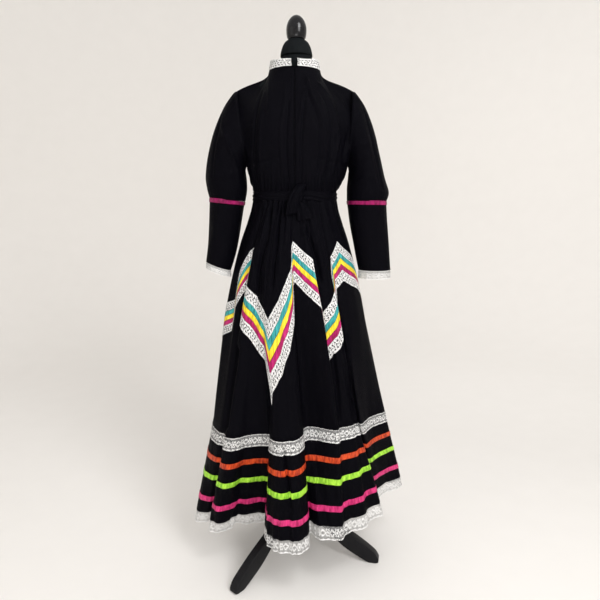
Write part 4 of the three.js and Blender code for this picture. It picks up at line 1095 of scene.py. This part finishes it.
WAIST_GATHERS = [  # angle, half width in degrees, how far it stands out, how far down it runs
    (-50, 2.4, 0.0042, 0.11), (-43, 1.8, -0.0036, 0.09),
    (-38, 2.0, 0.0040, 0.12), (-30, 1.9, 0.0046, 0.16),
    (-26, 1.5, -0.0044, 0.13), (-22, 1.6, 0.0044, 0.15),
    (-17, 1.6, 0.0046, 0.17), (-13.5, 1.4, -0.0046, 0.14),
    (-10, 1.7, 0.0030, 0.12), (6, 1.8, -0.0040, 0.12),
    (12, 2.2, 0.0046, 0.22), (19, 2.4, -0.0030, 0.10),
    (28, 2.6, 0.0034, 0.12), (37, 2.6, -0.0032, 0.09),
    (46, 2.8, 0.0036, 0.10), (60, 3.2, 0.0036, 0.10),
    (74, 3.4, -0.0030, 0.10), (-62, 3.0, -0.0034, 0.09),
    (-74, 3.2, 0.0036, 0.10), (-88, 3.4, -0.0030, 0.10),
]


def front_creases():
    """Three creases for each even fold round the front: the crest's two edges and the valley."""
    step = (FRONT_TO - FRONT_FROM) / FRONT_FOLDS
    rows = []
    for fold in range(FRONT_FOLDS):
        middle = FRONT_FROM + step * (fold + 0.5)
        for angle, kind, out in [
            (middle - 4, "crest", 6), (middle + 4, "crest", 6), (middle + step / 2, "valley", -8)
        ]:
            row = [angle, angle, out]
            for level in (FRONT_SEAM, FRONT_HEM):
                x = (level["wide"] + level[kind]) * math.sin(math.radians(angle))
                y = -(level["deep"] + level[kind]) * math.cos(math.radians(angle))
                turn = math.radians(level["turn"])
                row += [
                    x * math.cos(turn) - y * math.sin(turn) + level["x"],
                    x * math.sin(turn) + y * math.cos(turn)
                ]
            rows.append(row)
    return rows


CREASES = np.array(BACK_CREASES + front_creases(), float)
CREASES[:, 2:] *= MILLIMETRE


def crease_plan(number, z):
    """Where a crease lies in plan at a height."""
    row = CREASES[number % len(CREASES)]
    level = np.maximum(z, THIGH_Z)
    angle = np.radians(mix(
        row[..., 0], row[..., 1], np.clip((HIP_Z - level) / (HIP_Z - THIGH_Z), 0, 1)
    ))
    wide, deep = np.interp(
        level, OUTLINE_Z, OUTLINE_WIDE
    ), np.interp(level, OUTLINE_Z, OUTLINE_DEEP)
    outward = np.stack([np.sin(angle) / wide, -np.cos(angle) / deep], -1)
    outward /= np.linalg.norm(outward, axis=-1, keepdims=True)
    stand = row[..., 2] * np.clip((WAIST_Z - level) / (WAIST_Z - THIGH_Z), 0, 1)
    plan = np.stack([wide * np.sin(angle), -deep * np.cos(angle)], -1) + outward * stand[..., None]
    plan = mix(plan, row[..., 3:5], np.clip((THIGH_Z - z) / (THIGH_Z - SEAM_Z), 0, 1)[..., None])
    return plan + (row[..., 5:7] - row[..., 3:5]) * np.maximum(
        (SEAM_Z - z) / (SEAM_Z - HEM_Z), 0
    )[..., None]


def across_creases(column, z):
    """A rounded line through the creases at one height: they bend, but never swing past."""
    number = np.floor(column).astype(int)
    share = (column - number)[..., None]
    a, b, c, d = (crease_plan(number + k, z) for k in (-1, 0, 1, 2))
    ab, bc, cd = (
        np.linalg.norm(q - p, axis=-1, keepdims=True) + 1e-6 for p, q in ((a, b), (b, c), (c, d))
    )
    start = ((b - a) / ab * bc + (c - b) / bc * ab) / (ab + bc)
    end = ((c - b) / bc * cd + (d - c) / cd * bc) / (bc + cd)
    square, cube = share**2, share**3
    bend = 0.85 * bc * (start * (cube - 2 * square + share) + end * (cube - square))
    return b * (2 * cube - 3 * square + 1) + c * (3 * square - 2 * cube) + bend


def bare_skirt(column, z):
    """A point of the skirt or flounce without its small folds."""
    ease = np.clip(z - SEAM_Z, 0, 0.045)
    plan = sum(across_creases(column, z + ease * k) for k in (-1, 0, 1)) / 3
    return np.concatenate([plan + (AXIS_X, AXIS_Y), np.asarray(z)[..., None]], -1)


def bearing_of(column):
    plan = through(
        np.concatenate([CREASES[-2:], CREASES, CREASES[:3]])[:, 5:7], np.asarray(column) + 2
    )
    return np.arctan2(plan[..., 0], -plan[..., 1])


def seam_height(column):
    return SEAM_Z + 0.006 * np.sin(bearing_of(column))


def hem_height(column):
    bearing = bearing_of(column)
    return HEM_Z + 0.002 + 0.030 * np.sin(bearing) - 0.010 * np.cos(bearing)


def room_between(column, z):
    """Share, 0 to 1, by which the creases on either side leave room for smaller folds."""
    number = np.floor(column).astype(int)
    gap = np.linalg.norm(crease_plan(number + 1, z) - crease_plan(number, z), axis=-1)
    share = column - number
    return np.clip((gap - 0.012) / 0.03, 0, 1) * np.sin(math.pi * share) ** 0.6


def small_folds(column, z, grid):
    """How far gathers, ripples and slack stand off the main folds."""
    angle = np.degrees(np.arctan2(grid[..., 0] - AXIS_X, AXIS_Y - grid[..., 1]))
    below_waist = WAIST_Z - z
    out = drawn(grid, SKIRT_FOLDS)
    for gather, half, height, length in WAIST_GATHERS:
        run = np.clip(below_waist / 0.02, 0, 1) * np.exp(-((below_waist / length) ** 2))
        out += ridge(
            angle - 0.05 * (angle - gather), gather * (1 + 0.9 * below_waist), half, height
        ) * run
    gathered = np.exp(-below_waist / 0.05) * np.clip(below_waist / 0.01, 0, 1)
    out += 0.0018 * gathered * ripples(angle / 360, (47, 68, 91), 81)
    above_seam = np.clip((z - seam_height(column)) / 0.09, 0, 1)
    out += 0.0022 * ripples(
        angle / 360 + 0.05 * z, (9, 14, 23, 31), 82
    ) * above_seam * np.clip(below_waist / 0.2, 0, 1)
    into = np.clip((seam_height(column) - z) / (SEAM_Z - HEM_Z), 0, 1.2)
    room = room_between(column, np.minimum(z, SEAM_Z))
    out += 0.0021 * ripples(
        angle / 360, (83, 113, 149), 83
    ) * np.exp(-into / 0.2) * (into > 0) * room
    out += 0.0065 * ripples(angle / 360, (23, 37, 52), 84) * into * room
    return out


def skirt_cloth(column, z, closed=True):
    """The skirt or flounce with its small folds, on a grid of columns and heights."""
    grid = bare_skirt(column, z)
    if grid.ndim == 2:
        return grid
    return grid + grid_normals(grid, closed) * small_folds(column, z, grid)[..., None]


def even_columns(count, height_of, corners=()):
    """Columns spaced evenly along the cloth at a height, closer together over the back half, with
    the given corners kept among them."""
    fine = np.linspace(0, len(CREASES), 60 * 40 + 1)
    line = bare_skirt(fine, height_of(fine))
    steps = np.linalg.norm(np.diff(line, axis=0), axis=1) * np.where(
        line[1:, 1] < AXIS_Y, BACK_FINER, 1
    )
    run = np.concatenate([[0], np.cumsum(steps)])
    even = np.interp(np.linspace(0, run[-1], count, endpoint=False), run, fine)
    return np.sort(np.concatenate([even, [c for c in corners if np.abs(even - c).min() > 1e-3]]))


columns = even_columns(500, lambda column: np.full_like(column, 0.66))[None, :]
down = np.linspace(0, 1, 80)[:, None]
heights = mix(WAIST_Z, seam_height(columns), down)
skirt = cloth(
    "gathered_skirt", skirt_cloth(columns + 0 * heights, heights), black_cloth, 0.0009, True
)
settle(
    skirt, "black_cloth",
    *[f"skirt_{panel}" for panel in ("back_left", "back_right", "front_right", "front_left")]
)

# ---------------------------------------------------------------- zigzag trim
# Five bands sewn round the skirt in tall chevrons: eyelet lace above and below, and teal, yellow
# and magenta satin ribbon side by side between them.
ZIGZAG_CORNERS = {  # crease: heights of the trim's upper and lower edge, in millimetres
    0: (800, 650), 1: (842, 735), 3: (874, 781), 4: (950, 851),
    5: (1020, 893), 6: (1030, 910), 7: (923, 806),
    14: (846, 692), 15: (832, 615), 19: (945, 745),
    20: (970, 812), 21: (1030, 918), 22: (1050, 937),
    25: (1000, 862), 26: (842, 704), 27: (852, 714),
    31: (904, 761), 32: (930, 830), 33: (1004, 915),
    34: (1047, 934), 36: (1005, 902), 37: (950, 850), 38: (838, 650),
}
TIP_CREASE, TIP_DROP = 15, 0.030  # the lace's point at the deepest corner
TIP_WIDTH = 0.14  # in creases
LOWER_LACE = 0.72  # share of the trim's height above its lower lace
for fold in range(FRONT_FOLDS):
    ZIGZAG_CORNERS[len(BACK_CREASES) + 3 * fold] = (835, 605) if fold % 2 else (1045, 935)
corner_columns = sorted(ZIGZAG_CORNERS)
corner_heights = np.array([ZIGZAG_CORNERS[column] for column in corner_columns]) * MILLIMETRE


def zigzag_height(column, share):
    turn = len(CREASES)
    top, bottom = (np.interp(
        column, corner_columns, corner_heights[:, k], period=turn
    ) for k in (0, 1))
    near_tip = np.exp(-(((column - TIP_CREASE) / TIP_WIDTH) ** 2))
    tip = TIP_DROP * near_tip * np.clip((share - LOWER_LACE) / (1 - LOWER_LACE), 0, 1)
    return mix(top, bottom, share) - tip


def on_zigzag(first, last):
    """The place function of a band between two shares of the trim's height."""
    inner = even_columns(
        1600, lambda column: zigzag_height(column, (first + last) / 2), corner_columns
    )
    inner = np.append(inner, len(CREASES))

    def place(share, down):
        column = np.interp(share, np.linspace(0, 1, len(inner)), inner)
        return skirt_cloth(column, zigzag_height(column, mix(first, last, down)))

    return place


# Each satin gets a painted shade colour and a painted lit colour.
ZIGZAG_RIBBONS = [
    ("teal", 0.27, 0.42, satin("teal_satin", (0.008, 0.14, 0.15), (0.055, 0.42, 0.41))),
    ("yellow", 0.42, 0.57, satin("yellow_satin", (0.60, 0.38, 0.008), (0.98, 0.82, 0.05))),
    (
        "magenta", 0.57, 0.72,
        satin("zigzag_magenta_satin", (0.20, 0.003, 0.045), (0.52, 0.012, 0.16))
    ),
]
for place_name, first, last in [("upper", 0.0, 0.27), ("lower", 0.72, 1.0)]:
    band = lace(
        f"eyelet_lace_{place_name}", on_zigzag(first, last), 0.023, 0.0105, eyelets, True, 0.0010,
        0.0015, False
    )
    settle(band, "white_lace", f"zigzag_lace_{place_name}")
for colour, first, last, paint in ZIGZAG_RIBBONS:
    trim_columns = even_columns(
        900, lambda column: zigzag_height(column, (first + last) / 2), corner_columns
    )[None, :]
    shares = np.linspace(first + 0.004, last - 0.004, 6)[:, None]
    grid = skirt_cloth(trim_columns + 0 * shares, zigzag_height(trim_columns, shares))
    grid = grid + grid_normals(grid, True) * 0.0012
    ribbon = cloth(f"ribbon_{colour}", grid, paint, 0.0005, True)
    settle(ribbon, f"{colour}_satin", f"zigzag_ribbon_{colour}")

# ---------------------------------------------------------------- flounce
# A gathered flounce sewn to the skirt's foot under a band of rose lace, with red, lime and pink
# satin ribbon round it.
# Each satin gets a painted shade colour and a painted lit colour.
FLOUNCE_BANDS = [
    ("red", 0.29, 0.35, satin("red_satin", (0.26, 0.014, 0.003), (0.74, 0.085, 0.015))),
    ("lime", 0.515, 0.575, satin("lime_satin", (0.15, 0.40, 0.012), (0.48, 0.86, 0.07))),
    ("pink", 0.79, 0.852, satin("pink_satin", (0.36, 0.008, 0.085), (0.76, 0.045, 0.22))),
]


def flounce_height(column, share):
    return mix(seam_height(column) - SEAM, hem_height(column), share)


def flounce_place(share, down):
    column = np.interp(share, np.linspace(0, 1, len(flounce_line)), flounce_line)
    return skirt_cloth(column, flounce_height(column, down))


flounce_columns = even_columns(640, lambda column: flounce_height(column, 0.6))
flounce_line = np.append(flounce_columns, len(CREASES))
flounce_columns = flounce_columns[None, :]
down = np.linspace(0, 1, 40)[:, None]
grid = skirt_cloth(flounce_columns + 0 * down, flounce_height(flounce_columns, down))
flounce = cloth("gathered_flounce", grid, black_cloth, 0.0009, True)
settle(
    flounce, "black_cloth",
    *[f"flounce_{panel}" for panel in ("back_left", "back_right", "front_right", "front_left")]
)
heading = lace(
    "rose_lace", lambda share, down: flounce_place(share, 0.14 * down), 0.040, 0.028, roses, True,
    0.0010
)
settle(heading, "white_lace", "flounce_lace")
for colour, first, last, paint in FLOUNCE_BANDS:
    shares = np.linspace(first, last, 6)[:, None]
    grid = skirt_cloth(flounce_columns + 0 * shares, flounce_height(flounce_columns, shares))
    grid = grid + grid_normals(grid, True) * 0.0012
    ribbon = cloth(f"ribbon_{colour}", grid, paint, 0.0005, True)
    settle(ribbon, f"{colour}_satin", f"flounce_ribbon_{colour}")

# ---------------------------------------------------------------- hem lace
# Rose lace on fine net, sewn under the flounce's edge so that it hangs below the black cloth.
HEM_LACE_DROP = 0.040


def hem_place(share, down):
    column = np.interp(share, np.linspace(0, 1, len(flounce_line)), flounce_line)
    return skirt_cloth(column, hem_height(column) + 0.003 - down * (HEM_LACE_DROP + 0.003))


hem_lace = lace("hanging_lace", hem_place, 0.043, 0.029, roses, True, -0.0012, 0.0015)
settle(
    hem_lace, "white_lace",
    *[f"hem_lace_{panel}" for panel in ("back_left", "back_right", "front_right", "front_left")]
)

# ---------------------------------------------------------------- belt
# A sash of the dress's own poplin, wound round the waist in soft horizontal pleats and tied at the
# centre back. One end stands up over the knot and falls, and the other hangs under it.
BELT_TOP, BELT_BOTTOM = 1.189, 1.161
SASH_WALL = 0.0012
KNOT = {"x": 0.008, "y": -0.1152, "z": 1.176, "wide": 0.018, "thick": 0.012, "high": 0.019}
BELT_ENDS = {  # middle line: x, y, z, half width
    "left": [
        (0.020, -0.113, 1.208, 0.012), (0.013, -0.1214, 1.198, 0.014),
        (0.003, -0.1264, 1.180, 0.016),
        (-0.003, -0.1264, 1.160, 0.017), (-0.006, -0.124, 1.142, 0.017),
        (-0.008, -0.1215, 1.126, 0.017),
    ],
    "right": [
        (0.015, -0.116, 1.158, 0.009), (0.022, -0.1175, 1.144, 0.016),
        (0.027, -0.118, 1.126, 0.020),
        (0.029, -0.118, 1.110, 0.021),
    ],
}

turns = ring_turns(220)
down = np.linspace(0, 1, 15)[:, None]
side_x, back_y = np.sin(turns), -np.cos(turns)
power = mix(0.9, 1.0, down)
wide, deep = mix(0.1228, 0.1242, down), mix(0.1004, 0.1022, down)
x = AXIS_X + wide * np.sign(side_x) * np.abs(side_x) ** power
y = AXIS_Y + deep * np.sign(back_y) * np.abs(back_y) ** power
waver = 0.0016 * ripples(turns / math.tau, (3, 5, 9), 91)
grid = np.stack([x, y, mix(BELT_TOP, BELT_BOTTOM, down) + waver], -1)
pleats = 0.0011 * np.cos(math.tau * (2.5 * down + 0.5 * ripples(turns / math.tau, (2, 5), 92)))
bulge = 0.0016 * np.sin(math.pi * down)
grid = grid + grid_normals(grid, True) * (0.0014 + pleats + bulge)[..., None]
belt = settle(cloth("sash", grid, black_cloth, SASH_WALL, True), "black_cloth", "belt")

bpy.ops.object.select_all(action="DESELECT")
bpy.ops.mesh.primitive_uv_sphere_add(segments=48, ring_count=32, radius=1)
knot = bpy.context.object
knot.name = "sash_knot"
ball = np.array([v.co for v in knot.data.vertices])
turn, rise = np.arctan2(ball[:, 0], -ball[:, 1]), ball[:, 2]
wrap = 0.09 * np.cos(3.2 * turn + 2.6 * rise) + 0.06 * np.sin(7.0 * rise + 1.7 * turn)
squared = np.maximum(np.abs(ball).max(1), 1e-6)[:, None]
ball = ball / squared**0.35 * (1 + wrap)[:, None] * 0.93
sizes = np.array([KNOT["wide"], KNOT["thick"], KNOT["high"]])
middle = np.array([AXIS_X + KNOT["x"], AXIS_Y + KNOT["y"], KNOT["z"]])
for corner, point in zip(knot.data.vertices, ball * sizes + middle):
    corner.co = point
knot.data.uv_layers[0].name = "cloth"
for corner in knot.data.uv_layers[0].data:
    corner.uv = corner.uv * 0.1
knot.data.materials.append(black_cloth)
knot.data.shade_smooth()
settle(knot, "black_cloth", "belt_knot")

for name, line in BELT_ENDS.items():
    rows = through(line, np.linspace(0, len(line) - 1, 40))[:, None, :]
    across = np.linspace(-1, 1, 17)[None, :]
    down = np.linspace(0, 1, 40)[:, None]
    rumples = np.cos(math.tau * (1.3 * across + 0.3 * down)) * np.clip(down * 3, 0, 1)
    arch = 0.0035 * (1 - across**2) + 0.0012 * rumples
    x = AXIS_X + rows[..., 0] + across * rows[..., 3]
    y = AXIS_Y + rows[..., 1] - arch
    z = rows[..., 2] + 0.004 * across * down
    piece = cloth(f"sash_end_{name}", np.stack([x, y, z + 0 * x], -1), black_cloth, SASH_WALL)
    settle(piece, "black_cloth", f"belt_end_{name}")
